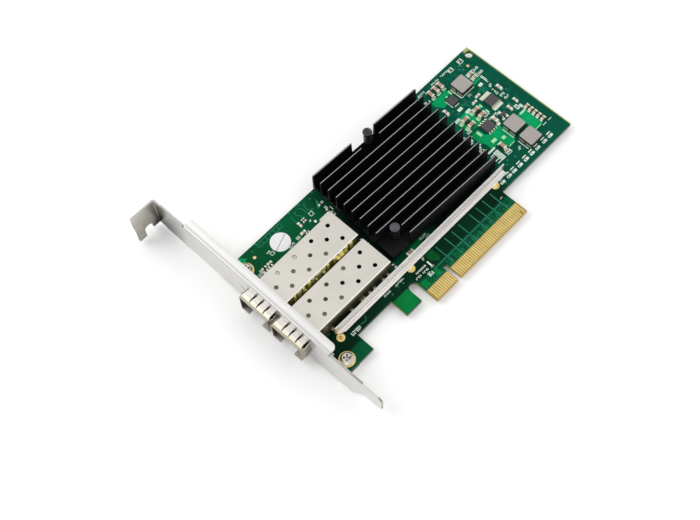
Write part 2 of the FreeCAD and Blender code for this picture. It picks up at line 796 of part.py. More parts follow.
def make_heat_sink():
    """Extruded section with tapering fins, then milled round the push pins."""
    half = sink_width / 2
    section = [(-half, sink_base_z), (half, sink_base_z)]
    for i in reversed(range(fin_count)):
        y = (i - (fin_count - 1) / 2) * fin_pitch
        root, tip = fin_root_thickness / 2, fin_tip_thickness / 2
        section += [(y + root, sink_floor_z), (y + tip, sink_top_z)]
        section += [(y - tip, sink_top_z), (y - root, sink_floor_z)]
    sink = prism([(-sink_length / 2, y, z) for y, z in section], (sink_length, 0, 0))
    pocket_x = push_1[0] + pin_pocket_offset
    sink = sink.cut(rod(pocket_x, push_1[1], sink_floor_z, sink_top_z + 1, pin_pocket_radius))
    corner = block(-sink_length / 2 - 1, push_2[0] + corner_pocket_clearance, -half - 1,
                   push_2[1] + corner_pocket_clearance, sink_floor_z, sink_top_z + 1)
    corner = rounded(corner, pocket_corner_radius,
                     lambda p, e: is_along(e, AXIS_Z) and p.x > push_2[0] and p.y > push_2[1])
    sink = sink.cut(corner)
    for x, y in push_pins:
        radius = push_shaft_radius + push_hole_clearance
        sink = sink.cut(facet_rod(x, y, sink_base_z - 1, sink_floor_z + 1, radius, hole_sides))
    far, c = sink_length / 2, fin_end_chamfer
    top = sink_top_z
    wedge = [(far - c, top + c), (far - c, top), (far, top - c), (far + c, top + c)]
    sink = sink.cut(prism([(x, -half, z) for x, z in wedge], (0, sink_width, 0)))
    return [in_sink_frame(sink.removeSplitter())]


def make_push_pin(place):
    """Nylon pin with a domed head and a split, barbed tip under the board."""
    x, y = place
    head_low = push_head_top - push_head_height
    tip_z = solder_z - push_barb_length
    land_z = solder_z - push_barb_land
    profile = [
        (push_shaft_radius * push_tip_ratio, tip_z), (push_barb_radius, land_z - push_barb_edge),
        (push_barb_radius, land_z), (push_shaft_radius, land_z), (push_shaft_radius, head_low),
        (push_head_radius, head_low), (push_head_radius, push_head_top - push_dome_height),
        (push_head_radius - push_dome_inset, push_head_top),
    ]
    pin = lathed(profile, push_sides)
    slot = block(-push_barb_radius - 1, push_barb_radius + 1, -push_slot_width / 2, push_slot_width / 2,
                 tip_z - 1, sink_base_z)
    pin = pin.cut(slot)
    pin.translate(vec(x, y, 0))
    return [in_sink_frame(pin)]


def make_push_spring(place):
    x, y = place
    low = sink_floor_z + spring_wire_radius
    high = push_head_top - push_head_height - spring_wire_radius
    steps = spring_turns * spring_steps
    rings = []
    for i in range(steps + 1):
        turn = 2 * math.pi * i / spring_steps
        z = low + (high - low) * i / steps
        corners = []
        for k in range(spring_wire_sides):
            angle = 2 * math.pi * (k + 0.5) / spring_wire_sides
            r = spring_radius + spring_wire_radius * math.cos(angle)
            rise = spring_wire_radius * math.sin(angle)
            corners.append(vec(x + r * math.cos(turn), y + r * math.sin(turn), z + rise))
        rings.append(corners)
    return [in_sink_frame(skinned(rings))]


# ---------------------------------------------------------------- stiffener bar
def make_bar():
    """Folded channel, open upwards, with legs through the plated holes."""
    x0 = bracket_x + bar_start
    x1 = board_far_x - bar_end_inset
    y0, y1 = bar_front_y, bar_back_y
    z0 = ring_thickness
    back, front = z0 + bar_back_height, z0 + bar_front_height
    t = bar_sheet
    section = [(y0, z0), (y1, z0), (y1, back), (y1 - t, back),
               (y1 - t, z0 + t), (y0 + t, z0 + t), (y0 + t, front), (y0, front)]
    bar = prism([(x0, y, z) for y, z in section], (x1 - x0, 0, 0))
    bar = rounded(bar, t, lambda p, e: is_along(e, AXIS_X) and close(p.z, z0))
    slant = (bar_nose_cut - bar_nose_rest) / bar_width
    cut = flat([(x0 - 2, y0 - 1), (x0 + bar_nose_cut + slant, y0 - 1), (x0 + bar_nose_rest - slant, y1 + 1),
                (x0 - 2, y1 + 1)], z0 - 1, back + 1)
    bar = bar.cut(cut)
    half = leg_width / 2
    legs = [block(x - half, x + half, y0, y0 + t, solder_z - leg_length, front) for x in ring_xs[1:]]
    return [joined([bar] + legs)]


# ---------------------------------------------------------------- board components
def make_inductor(x, y):
    """Pressed body: a square cap on a narrower waist."""
    half = inductor_side / 2
    cap = block(x - half, x + half, y - half, y + half, inductor_waist_top, inductor_height)
    cap = cap.makeChamfer(inductor_corner, [e for e in cap.Edges if is_along(e, AXIS_Z)])
    half -= inductor_waist_inset
    return joined([cap, block(x - half, x + half, y - half, y + half, standoff, inductor_waist_top)])


def rounded_top(body, size, top):
    edges = [e for e in body.Edges if close(e.CenterOfMass.z, top)]
    return body.makeChamfer(size, edges)


def make_terminals(x, y):
    half = inductor_side / 2 - inductor_waist_inset
    clips = []
    for side in (-1, 1):
        y0 = y + side * (half - terminal_width / 2) - terminal_width / 2
        foot = block(x - half, x, y0, y0 + terminal_width, 0, standoff)
        wall = block(x - half - terminal_thickness, x - half, y0, y0 + terminal_width, 0, terminal_height)
        clips.append(joined([foot, wall]))
    return clips


inductor_x = board_far_x - inductor_inset_x
inductor_places = [
    (inductor_x, board_top_y - inductor_1_inset_y),
    (inductor_x, lower_edge_y + inductor_2_rise),
    (inductor_x, lower_edge_y + inductor_3_rise),
]


def spread(count, pitch):
    """Evenly spaced offsets about zero."""
    return [(i - (count - 1) / 2) * pitch for i in range(count)]


def leaded_package(x, y, size, rows, lead, reach):
    """Body with gull-wing leads; its length runs along X, and rows gives each side's lead offsets."""
    length, width, height = size
    body = block(x - length / 2, x + length / 2, y - width / 2, y + width / 2, standoff, height)
    body = rounded_top(body, height * package_chamfer_ratio, height)
    feet = []
    shoulder = height / 2
    for side, offsets in rows:
        wall = y + side * width / 2
        knee = wall + side * reach * lead_knee_ratio
        toe = wall + side * reach
        t = lead_thickness
        bend = knee + side * t
        profile = [(wall, shoulder), (wall, shoulder + t), (bend, shoulder + t), (bend, t),
                   (toe, t), (toe, 0), (knee, 0), (knee, shoulder)]
        for offset in offsets:
            x0 = x + offset - lead / 2
            feet.append(prism([(x0, py, pz) for py, pz in profile], (lead, 0, 0)))
    return body, feet


def chip_part(x, y, turned, size):
    """Ceramic chip: body between two plated ends, along X or turned along Y."""
    length, width, height, end = size
    half_l, half_w = length / 2, width / 2
    skin = cap_end_skin
    body = block(-half_l + end, half_l - end, -half_w, half_w, skin, height - skin)
    ends = [block(x0, x0 + end, -half_w - skin, half_w + skin, 0, height) for x0 in (-half_l, half_l - end)]
    placed = []
    for shape in [body] + ends:
        if turned:
            shape.rotate(vec(0, 0, 0), AXIS_Z, 90)
        shape.translate(vec(x, y, 0))
        placed.append(shape)
    return placed[0], placed[1:]


def capacitor_places():
    """Middle, direction (True across the board) and size of every chip capacitor."""
    insets = [(x, cap_trio_inset_y, True, large_cap) for x in cap_trio_insets_x]
    insets += [(x, y, False, large_cap) for x in cap_block_insets_x for y in cap_block_insets_y]
    insets.append((cap_feed_inset_x, cap_feed_inset_y, True, large_cap))
    for i in range(cap_ladder_count):
        insets.append((cap_ladder_inset_x, cap_ladder_inset_y - cap_ladder_pitch * i, False, small_cap))
    insets += [(cap_pair_inset_x, y, False, small_cap) for y in cap_pair_insets_y]
    places = [(board_far_x - x, board_top_y - y, turned, size) for x, y, turned, size in insets]
    single_y = sink_y - sink_width / 2 - cap_single_gap_y
    return places + [(sink_near_x + cap_single_x, single_y, False, large_cap)]


def make_sticker():
    y = board_top_y - sticker_inset_y
    return [facet_rod(bracket_x + sticker_x, y, 0, sticker_thickness, sticker_radius, sticker_sides)]


# ---------------------------------------------------------------- all pieces
save("circuit_board", make_board())
save("edge_contacts_top", make_contacts(0, contact_thickness, short_contact_top))
save("edge_contacts_bottom", make_contacts(solder_z - contact_thickness, solder_z, short_contact_bottom))
save("plated_rings", make_rings())
save("mounting_bracket", make_bracket())
save("bracket_screws", make_screws())
for number, cage_y in enumerate(cage_ys, 1):
    save("cage_shell_%d" % number, make_cage_shell(cage_y, number == 1))
    save("cage_base_%d" % number, make_cage_base(cage_y))
    save("spring_collar_%d" % number, make_collar(cage_y))
    save("host_connector_%d" % number, make_host_connector(cage_y))
save("light_bodies", make_light_bodies())
save("light_lenses", make_light_lenses())
save("controller_substrate", [under_sink(chip_side, 0, chip_substrate_height)])
save("controller_lid", [under_sink(chip_lid_side, chip_substrate_height, chip_top_z)])
save("thermal_pad", [under_sink(chip_lid_side, chip_top_z, sink_base_z)])
save("heat_sink", make_heat_sink())
for number, place in enumerate(push_pins, 1):
    save("push_pin_%d" % number, make_push_pin(place))
    save("push_pin_spring_%d" % number, make_push_spring(place))
save("stiffener_bar", make_bar())
terminals = []
for number, (x, y) in enumerate(inductor_places, 1):
    save("power_inductor_%d" % number, [make_inductor(x, y)])
    terminals += make_terminals(x, y)
save("inductor_terminals", terminals)
regulator_x = board_far_x - regulator_inset_x
regulator_y = board_top_y - regulator_inset_y
half_regulator = regulator_side / 2
save("voltage_regulator", [block(regulator_x - half_regulator, regulator_x + half_regulator,
                                 regulator_y - half_regulator, regulator_y + half_regulator,
                                 0, regulator_height)])
logic_leads = spread(logic_lead_count, logic_lead_pitch)
memory_leads = spread(memory_lead_count, memory_lead_pitch)
packages = [
    ("logic", logic_inset_x, logic_inset_y, (logic_length, logic_width, logic_height),
     [(-1, logic_leads), (1, logic_leads)], logic_lead_pitch * lead_width_ratio, logic_lead_reach),
    ("memory", memory_inset_x, memory_inset_y, (memory_length, memory_width, memory_height),
     [(-1, memory_leads), (1, memory_leads)], memory_lead_pitch * lead_width_ratio, memory_lead_reach),
    ("transistor", transistor_inset_x, transistor_inset_y,
     (transistor_length, transistor_width, transistor_height),
     [(1, [0]), (-1, spread(2, transistor_lead_pitch))], transistor_lead_width, transistor_lead_reach),
]
for name, inset_x, inset_y, size, rows, lead, reach in packages:
    body, feet = leaded_package(board_far_x - inset_x, board_top_y - inset_y, size, rows, lead, reach)
    save(name + "_package", [body])
    save(name + "_leads", feet)
bodies = []
ends = []
for x, y, turned, size in capacitor_places():
    body, caps = chip_part(x, y, turned, size)
    bodies.append(body)
    ends += caps
save("capacitor_bodies", bodies)
save("capacitor_ends", ends)
save("round_sticker", make_sticker())
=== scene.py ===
import json
import math
import random

import bpy
from mathutils import Matrix, Vector


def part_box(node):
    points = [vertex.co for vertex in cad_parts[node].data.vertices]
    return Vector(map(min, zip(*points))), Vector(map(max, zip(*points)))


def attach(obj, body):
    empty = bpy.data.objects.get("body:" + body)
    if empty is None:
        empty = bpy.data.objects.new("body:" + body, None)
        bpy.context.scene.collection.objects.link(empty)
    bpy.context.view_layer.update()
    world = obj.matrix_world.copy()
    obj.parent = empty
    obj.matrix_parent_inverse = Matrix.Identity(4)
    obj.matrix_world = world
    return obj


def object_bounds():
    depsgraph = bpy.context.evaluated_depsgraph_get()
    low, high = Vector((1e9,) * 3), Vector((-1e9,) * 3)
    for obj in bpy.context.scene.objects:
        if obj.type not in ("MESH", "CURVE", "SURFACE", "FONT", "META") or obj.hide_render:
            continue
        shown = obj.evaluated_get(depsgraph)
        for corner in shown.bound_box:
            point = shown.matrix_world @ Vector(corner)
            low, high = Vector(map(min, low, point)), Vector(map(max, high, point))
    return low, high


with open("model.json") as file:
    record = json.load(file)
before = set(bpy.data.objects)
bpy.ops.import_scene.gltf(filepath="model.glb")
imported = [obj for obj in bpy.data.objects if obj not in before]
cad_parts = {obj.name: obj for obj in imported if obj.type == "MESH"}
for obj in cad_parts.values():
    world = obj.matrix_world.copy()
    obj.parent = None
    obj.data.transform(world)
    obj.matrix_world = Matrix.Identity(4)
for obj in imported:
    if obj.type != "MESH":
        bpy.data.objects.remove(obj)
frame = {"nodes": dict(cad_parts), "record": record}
cad_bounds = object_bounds()
MM = 0.001

board_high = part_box("circuit_board")[1]
bar_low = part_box("stiffener_bar")[0]
sink_low, sink_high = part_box("heat_sink")
contacts_low, contacts_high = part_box("edge_contacts_top")
plate_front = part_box("light_lenses")[0].x    # the lenses end flush with the front of the bracket's plate
fin_pitch, fin_skew = 4.4, -2.27             # spacing of the fins in mm and their turn in degrees


# ---------------------------------------------------------------- nodes that the materials share
def new_material(name, colour, metallic=0.0, roughness=0.5, specular=0.5):
    mat = bpy.data.materials.new(name)
    mat.use_nodes = True
    shader = mat.node_tree.nodes["Principled BSDF"]
    shader.inputs["Base Color"].default_value = (*colour, 1)
    shader.inputs["Metallic"].default_value = metallic
    shader.inputs["Roughness"].default_value = roughness
    shader.inputs["Specular IOR Level"].default_value = specular
    return mat, shader


def add_node(mat, kind, **settings):
    node = mat.node_tree.nodes.new(kind)
    for key, value in settings.items():
        setattr(node, key, value)
    return node


def link(mat, source, target):
    mat.node_tree.links.new(source, target)


def maths(mat, operation, *values):
    """Result of a maths node on other nodes' values or plain numbers."""
    node = add_node(mat, "ShaderNodeMath", operation=operation)
    for socket, value in zip(node.inputs, values):
        if isinstance(value, (int, float)):
            socket.default_value = value
        else:
            link(mat, value, socket)
    return node.outputs[0]


def multiply(mat, a, b):
    return maths(mat, "MULTIPLY", a, b)


def object_coords(mat, scale=(1, 1, 1)):
    """Object coordinates in metres, scaled per axis."""
    coords = add_node(mat, "ShaderNodeTexCoord")
    mapping = add_node(mat, "ShaderNodeMapping")
    mapping.inputs["Scale"].default_value = scale
    link(mat, coords.outputs["Object"], mapping.inputs["Vector"])
    return mapping.outputs["Vector"]


def noise(mat, scale, detail, stretch=(1, 1, 1)):
    """Noise in object space, its scale per metre."""
    node = add_node(mat, "ShaderNodeTexNoise")
    node.inputs["Scale"].default_value = scale
    node.inputs["Detail"].default_value = detail
    node.inputs["Roughness"].default_value = 0.55
    link(mat, object_coords(mat, stretch), node.inputs["Vector"])
    return node.outputs["Fac"]


def ramp(mat, value, stops):
    node = add_node(mat, "ShaderNodeValToRGB")
    elements = node.color_ramp.elements
    while len(elements) < len(stops):
        elements.new(0.5)
    for element, (position, colour) in zip(elements, stops):
        element.position = position
        element.color = (*colour, 1)
    link(mat, value, node.inputs["Fac"])
    return node.outputs["Color"]


def value_ramp(mat, value, stops):
    """Ramp between plain values instead of colours."""
    return ramp(mat, value, [(position, (level,) * 3) for position, level in stops])


def mix_colour(mat, factor, a, b):
    node = add_node(mat, "ShaderNodeMix", data_type="RGBA")
    link(mat, factor, node.inputs["Factor"])
    for socket, value in (("A", a), ("B", b)):
        target = [i for i in node.inputs if i.name == socket and i.type == "RGBA"][0]
        if isinstance(value, tuple):
            target.default_value = (*value, 1)
        else:
            link(mat, value, target)
    return [o for o in node.outputs if o.type == "RGBA"][0]


def map_range(mat, value, from_low, from_high, to_low=0.0, to_high=1.0):
    node = add_node(mat, "ShaderNodeMapRange")
    link(mat, value, node.inputs["Value"])
    limits = (from_low, from_high, to_low, to_high)
    for key, number in zip(("From Min", "From Max", "To Min", "To Max"), limits):
        node.inputs[key].default_value = number
    return node.outputs["Result"]


def between(mat, value, low, high, soft):
    """1 where the value lies between low and high, with soft edges."""
    rise = map_range(mat, value, low - soft, low + soft)
    fall = map_range(mat, value, high - soft, high + soft, 1.0, 0.0)
    return multiply(mat, rise, fall)


def axis_part(mat, vector, axis):
    split = add_node(mat, "ShaderNodeSeparateXYZ")
    link(mat, vector, split.inputs[0])
    return split.outputs[axis]


def place(mat, axis):
    """One coordinate of the point in the part's frame, in metres."""
    return axis_part(mat, add_node(mat, "ShaderNodeTexCoord").outputs["Object"], axis)


def along(mat, axis, start, end, to_low=0.0, to_high=1.0, base=0.0):
    """Runs from to_low to to_high between two places on an axis, in millimetres from the base."""
    return map_range(mat, place(mat, axis), base + start * MM, base + end * MM, to_low, to_high)


def within(mat, axis, low, high, soft, base=0.0):
    """1 between two places on an axis, in millimetres from the base, with soft edges."""
    return between(mat, place(mat, axis), base + low * MM, base + high * MM, soft * MM)


def normal_part(mat, axis):
    return axis_part(mat, add_node(mat, "ShaderNodeNewGeometry").outputs["Normal"], axis)


def facing_up(mat, low=0.4, high=0.7):
    """1 on faces that look up or down, 0 on upright ones."""
    return map_range(mat, maths(mat, "ABSOLUTE", normal_part(mat, "Z")), low, high)


def facing_low(mat, axis, full, none):
    """1 on faces that look towards the low end of an axis."""
    return map_range(mat, normal_part(mat, axis), full, none, 1.0, 0.0)


def bump(mat, shader, height, strength, distance):
    """Gives the shader a relief, its distance in millimetres."""
    node = add_node(mat, "ShaderNodeBump")
    node.inputs["Strength"].default_value = strength
    node.inputs["Distance"].default_value = distance * MM
    link(mat, height, node.inputs["Height"])
    link(mat, node.outputs["Normal"], shader.inputs["Normal"])


def shades(colour, variation):
    """Ramp stops from a darker to a lighter shade of a colour."""
    darker = tuple(c * (1 - variation) for c in colour)
    lighter = tuple(min(1, c * (1 + variation)) for c in colour)
    return [(0.3, darker), (0.7, lighter)]


# ---------------------------------------------------------------- materials
def steel(name, colour, roughness, streaks=(1, 1, 1), mottling=0.05, grain=900, spread=0.04):
    """Plated sheet: faint mottling of the plate and a fine rolled grain in its gloss."""
    mat, shader = new_material(name, colour, 1.0, roughness)
    plate = ramp(mat, noise(mat, 90, 3), shades(colour, mottling))
    link(mat, plate, shader.inputs["Base Color"])
    gloss = map_range(mat, noise(mat, grain, 5, streaks), 0.2, 0.8, roughness - spread, roughness + spread)
    link(mat, gloss, shader.inputs["Roughness"])
    return mat, shader, plate


def bracket_material():
    """Nickel plate with painted shade on the plate's front and the screw tab, a painted shadow dark low in
    the corner between them and a painted highlight on the flange.
    """
    mat, shader, plate = steel("bracket_plate", (0.88, 0.87, 0.84), 0.34, (1, 0.12, 1))
    tab_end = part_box("mounting_bracket")[1].y
    # tab: painted light and shade, paler towards its upper edge, darker at the fold
    tab = ramp(mat, along(mat, "Z", 5, 14), [(0.0, (0.43, 0.405, 0.345)), (1.0, (0.66, 0.635, 0.56))])
    tab = mix_colour(mat, along(mat, "X", -3.66, -0.16, 0, 0.35, plate_front), tab, (0.20, 0.18, 0.14))
    # painted shadow, near black low in the corner between the tab and the plate
    corner = multiply(mat, along(mat, "X", -4.36, -1.56, base=plate_front), along(mat, "Z", 5.5, 0.5))
    tab = mix_colour(mat, corner, tab, (0.02, 0.017, 0.012))
    # front of the plate: painted shade, even over the face, deeper towards the tab and lower down
    shade = multiply(mat, along(mat, "Y", -18.22, -3.22, base=tab_end), along(mat, "Z", 15, 3, 0.45, 1.0))
    front = mix_colour(mat, shade, (0.70, 0.69, 0.67), (0.02, 0.018, 0.015))
    # flange: painted highlight in one pale band beside the fold, painted shade darker at the fold itself
    flange = ramp(mat, along(mat, "X", -0.16, 4.84, base=plate_front),
                  [(0.0, (0.50, 0.49, 0.47)), (0.12, (0.56, 0.55, 0.53)), (0.28, (0.75, 0.74, 0.72)),
                   (0.42, (0.99, 0.985, 0.98)), (0.60, (0.99, 0.985, 0.98)), (0.80, (0.88, 0.87, 0.84))])
    plate = mix_colour(mat, facing_up(mat, 0.3, 0.5), plate, flange)
    plate = mix_colour(mat, facing_low(mat, "X", -0.9, -0.5), plate, front)
    plate = mix_colour(mat, facing_low(mat, "Y", -0.7, -0.3), plate, tab)
    link(mat, plate, shader.inputs["Base Color"])
    return mat


def cage_material():
    """Stamped sheet; its walls painted darker and yellower as shade and reflection of the board, painted
    shade in the port, a painted highlight along the fold of each roof.
    """
    mat, shader, roof = steel("cage_nickel", (0.745, 0.72, 0.66), 0.42, (0.15, 1, 1), 0.03)
    # painted highlight along the fold of each roof
    for shell in ("cage_shell_1", "cage_shell_2"):
        fold = within(mat, "Y", -0.1, 0.5, 0.1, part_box(shell)[0].y)
        roof = mix_colour(mat, fold, roof, (0.98, 0.965, 0.90))
    # upright faces painted darker and yellower as shade and reflection of the board, darkest in the port as
    # painted shade
    behind_port = along(mat, "X", 0.24, 0.64, base=plate_front)
    side = mix_colour(mat, behind_port, (0.10, 0.09, 0.075), (0.36, 0.345, 0.24))
    link(mat, mix_colour(mat, facing_up(mat), side, roof), shader.inputs["Base Color"])
    return mat


def collar_material():
    """Spring sheet: beige band round the nose, brighter bowed fingers; upright faces painted darker than the
    tops, as shade.
    """
    mat, shader, plate = steel("collar_spring", (0.70, 0.67, 0.64), 0.3, (0.2, 1, 1))
    behind_band = along(mat, "X", 1.94, 2.34, base=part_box("spring_collar_1")[0].x)
    top = mix_colour(mat, behind_band, (0.56, 0.53, 0.43), plate)
    # upright faces painted darker than the tops, as shade
    side = mix_colour(mat, behind_band, (0.42, 0.39, 0.30), (0.50, 0.46, 0.38))
    link(mat, mix_colour(mat, facing_up(mat), side, top), shader.inputs["Base Color"])
    return mat


def bar_material():
    """Plated channel; bands of painted highlight and shade run along its back wall, with painted shade dark
    at one crease.
    """
    mat, shader, plate = steel("bar_plate", (0.96, 0.945, 0.925), 0.3, (0.1, 1, 1), 0.03, 900, 0.02)
    band_slope, band_height = 0.022, 6
    slanted = maths(mat, "MULTIPLY_ADD", place(mat, "X"), band_slope, place(mat, "Z"))
    dark, dull, pale, white = (0.05, 0.04, 0.035), (0.70, 0.65, 0.63), (0.80, 0.77, 0.75), (0.97, 0.95, 0.93)
    # painted light: the pale and white bands are painted highlight, the dull and dark ones painted shade,
    # darkest at the crease
    bands = ramp(mat, map_range(mat, slanted, 0, band_height * MM),
                 [(0.19, dull), (0.215, dark), (0.275, dark), (0.30, dull), (0.47, pale), (0.70, pale),
                  (0.74, (0.48, 0.46, 0.44)), (0.80, white)])
    # painted shade, deeper towards the far end, above the foot
    far_shade = value_ramp(mat, along(mat, "X", 3.54, 95.54, base=bar_low.x),
                        [(0.0, 0.0), (0.23, 0.03), (0.41, 0.22), (0.55, 0.35), (1.0, 0.37)])
    far_shade = multiply(mat, far_shade, along(mat, "Z", 1.3, 2.0))
    bands = mix_colour(mat, far_shade, bands, (0.02, 0.018, 0.014))
    # painted shade low in the trough over part of its length
    trough_shade = multiply(mat, along(mat, "X", 67.54, 91.54, 0, 0.55, bar_low.x), within(mat, "Z", 1.7, 3.4, 0.6))
    bands = mix_colour(mat, trough_shade, bands, (0.05, 0.045, 0.035))
    back_wall = multiply(mat, facing_low(mat, "Y", -0.7, -0.3), along(mat, "Y", 0.8, 1.0, base=bar_low.y))
    link(mat, mix_colour(mat, back_wall, plate, bands), shader.inputs["Base Color"])
    return mat


def plastic(name, colour, roughness, grain=1800, strength=0.1, variation=0.25, specular=0.35):
    """Moulded resin or plastic with a fine spark-eroded grain."""
    mat, shader = new_material(name, colour, 0.0, roughness, specular)
    fine = noise(mat, grain, 5)
    link(mat, ramp(mat, fine, shades(colour, variation)), shader.inputs["Base Color"])
    bump(mat, shader, fine, strength, 0.02)
    return mat


def shaded_sides(name, top, side, roughness, metallic=0.0, variation=0.1):
    """Small part whose upright faces are painted darker than its top, as shade."""
    mat, shader = new_material(name, top, metallic, roughness, 0.2)
    speckle = noise(mat, 2600, 3)
    side_shades, top_shades = (ramp(mat, speckle, shades(colour, variation)) for colour in (side, top))
    link(mat, mix_colour(mat, facing_up(mat, 0.5, 0.8), side_shades, top_shades), shader.inputs["Base Color"])
    bump(mat, shader, speckle, 0.2, 0.02)
    return mat


def pin_material():
    """Black nylon; tops painted lighter than the sides as sheen, the near head greyer, the far one with a
    painted glint along the edge away from the bracket.
    """
    mat, shader = new_material("pin_black", (0.018, 0.018, 0.02), 0.0, 0.3)
    fine = noise(mat, 1800, 5)
    side = ramp(mat, fine, [(0.3, (0.014, 0.014, 0.016)), (0.7, (0.022, 0.022, 0.024))])
    # tops painted lighter than the sides as sheen; the far head gets a painted glint on its edge away from
    # the bracket
    near_top = ramp(mat, noise(mat, 900, 3), [(0.35, (0.066, 0.066, 0.074)), (0.65, (0.096, 0.096, 0.106))])
    far_low, far_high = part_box("push_pin_1")
    near_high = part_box("push_pin_2")[1]
    far_top = ramp(mat, map_range(mat, place(mat, "X"), far_low.x, far_high.x),
                   [(0.0, (0.030, 0.030, 0.030)), (0.55, (0.018, 0.018, 0.016)),
                    (0.80, (0.040, 0.040, 0.037)), (0.88, (0.26, 0.26, 0.25))])
    beyond_near = map_range(mat, place(mat, "Y"), near_high.y, far_low.y)
    top = mix_colour(mat, beyond_near, near_top, far_top)
    link(mat, mix_colour(mat, facing_up(mat), side, top), shader.inputs["Base Color"])
    bump(mat, shader, fine, 0.1, 0.03)
    return mat


def mask_colour(mat):
    """Solder mask: bluer towards the far end, blotched among the power parts, dark over the inner planes."""
    wide = noise(mat, 55, 3)
    mask = ramp(mat, wide, [(0.35, (0.0010, 0.072, 0.040)), (0.65, (0.0016, 0.095, 0.056))])
    deep = ramp(mat, wide, [(0.35, (0.0007, 0.017, 0.0075)), (0.65, (0.0011, 0.031, 0.0130))])
    greener = ramp(mat, wide, [(0.35, (0.0008, 0.078, 0.026)), (0.65, (0.0012, 0.100, 0.036))])
    mask = mix_colour(mat, along(mat, "X", -30, 50), greener, mask)
    blotches = value_ramp(mat, noise(mat, 420, 3), [(0.50, 0.0), (0.68, 0.8)])
    among_parts = multiply(mat, within(mat, "X", 46, 79, 2), within(mat, "Y", 34, 68, 2))
    mask = mix_colour(mat, multiply(mat, blotches, among_parts), mask, (0.004, 0.150, 0.086))
    inner_plane = multiply(mat, within(mat, "Y", 10.4, 21, 0.7), along(mat, "X", 39, 44, 1.0, 0.0))
    return mix_colour(mat, inner_plane, mask, deep)


def shaded_mask(mat, mask):
    """Mask with the shade that the bar and the heat sink cast on it."""
    behind_bar = multiply(mat, within(mat, "Y", 18.5, 23.5, 0.6), within(mat, "X", 8, 44, 3))
    mask = mix_colour(mat, behind_bar, mask, (0.004, 0.010, 0.005))
    # full along the cages, fading beyond the second of them
    depth = value_ramp(mat, along(mat, "Y", 22.5, 69),
                       [(0.0, 0.0), (0.04, 0.9), (0.60, 0.95), (0.72, 0.72), (0.80, 0.30), (1.0, 0.35)])
    beside_sink = multiply(mat, within(mat, "X", -3.09, 3.31, 1.6, sink_low.x), depth)
    return mix_colour(mat, beside_sink, mask, (0.0042, 0.0095, 0.0080))


def board_material():
    """Green solder mask, with bare laminate on the edges, at the contacts and in the far corner."""
    mat, shader = new_material("solder_mask", (0.002, 0.085, 0.05), 0.0, 0.3, 0.05)
    mask = shaded_mask(mat, mask_colour(mat))
    fibres = noise(mat, 900, 4, (1, 1, 6))
    laminate = ramp(mat, fibres, [(0.3, (0.17, 0.22, 0.04)), (0.7, (0.30, 0.36, 0.10))])
    mask = mix_colour(mat, along(mat, "X", -0.55, -0.35, base=board_high.x), mask, laminate)
    far_corner = multiply(mat, along(mat, "X", -3.4, -2.2, base=board_high.x),
                          along(mat, "Y", -2.2, -1.2, base=board_high.y))
    mask = mix_colour(mat, far_corner, mask, (0.40, 0.47, 0.18))
    # traces crowd between the contacts and the bus
    crowded = ramp(mat, noise(mat, 500, 3), [(0.38, (0.0010, 0.060, 0.024)), (0.62, (0.0020, 0.135, 0.050))])
    crowded = mix_colour(mat, along(mat, "Y", 7, 9.7, 0, 0.5), crowded, (0.001, 0.030, 0.014))
    lanes = multiply(mat, within(mat, "X", -3.2, 39.6, 0.3), within(mat, "Y", 5.8, 9.7, 0.3))
    mask = mix_colour(mat, lanes, mask, crowded)
    # bare board round the contacts
    bare = ramp(mat, fibres, [(0.3, (0.34, 0.24, 0.055)), (0.7, (0.44, 0.31, 0.09))])
    margin = 0.75 * MM
    beside = between(mat, place(mat, "X"), contacts_low.x - margin, contacts_high.x + margin, 0.05 * MM)
    fingers = multiply(mat, beside, along(mat, "Y", 0.2, 0.35, 1.0, 0.0, contacts_high.y))
    mask = mix_colour(mat, fingers, mask, bare)
    edge = mix_colour(mat, facing_low(mat, "Y", -0.6, -0.4), laminate, (0.05, 0.085, 0.045))
    edge = mix_colour(mat, fingers, edge, (0.50, 0.34, 0.12))
    link(mat, mix_colour(mat, facing_up(mat, 0.85, 0.95), edge, mask), shader.inputs["Base Color"])
    bump(mat, shader, noise(mat, 2500, 3), 0.05, 0.02)
    return mat


def mask_material(name, dark, light):
    """Solder mask over copper or over a trace."""
    mat, shader = new_material(name, light, 0.0, 0.3, 0.05)
    link(mat, ramp(mat, noise(mat, 160, 4), [(0.35, dark), (0.65, light)]), shader.inputs["Base Color"])
    return mat


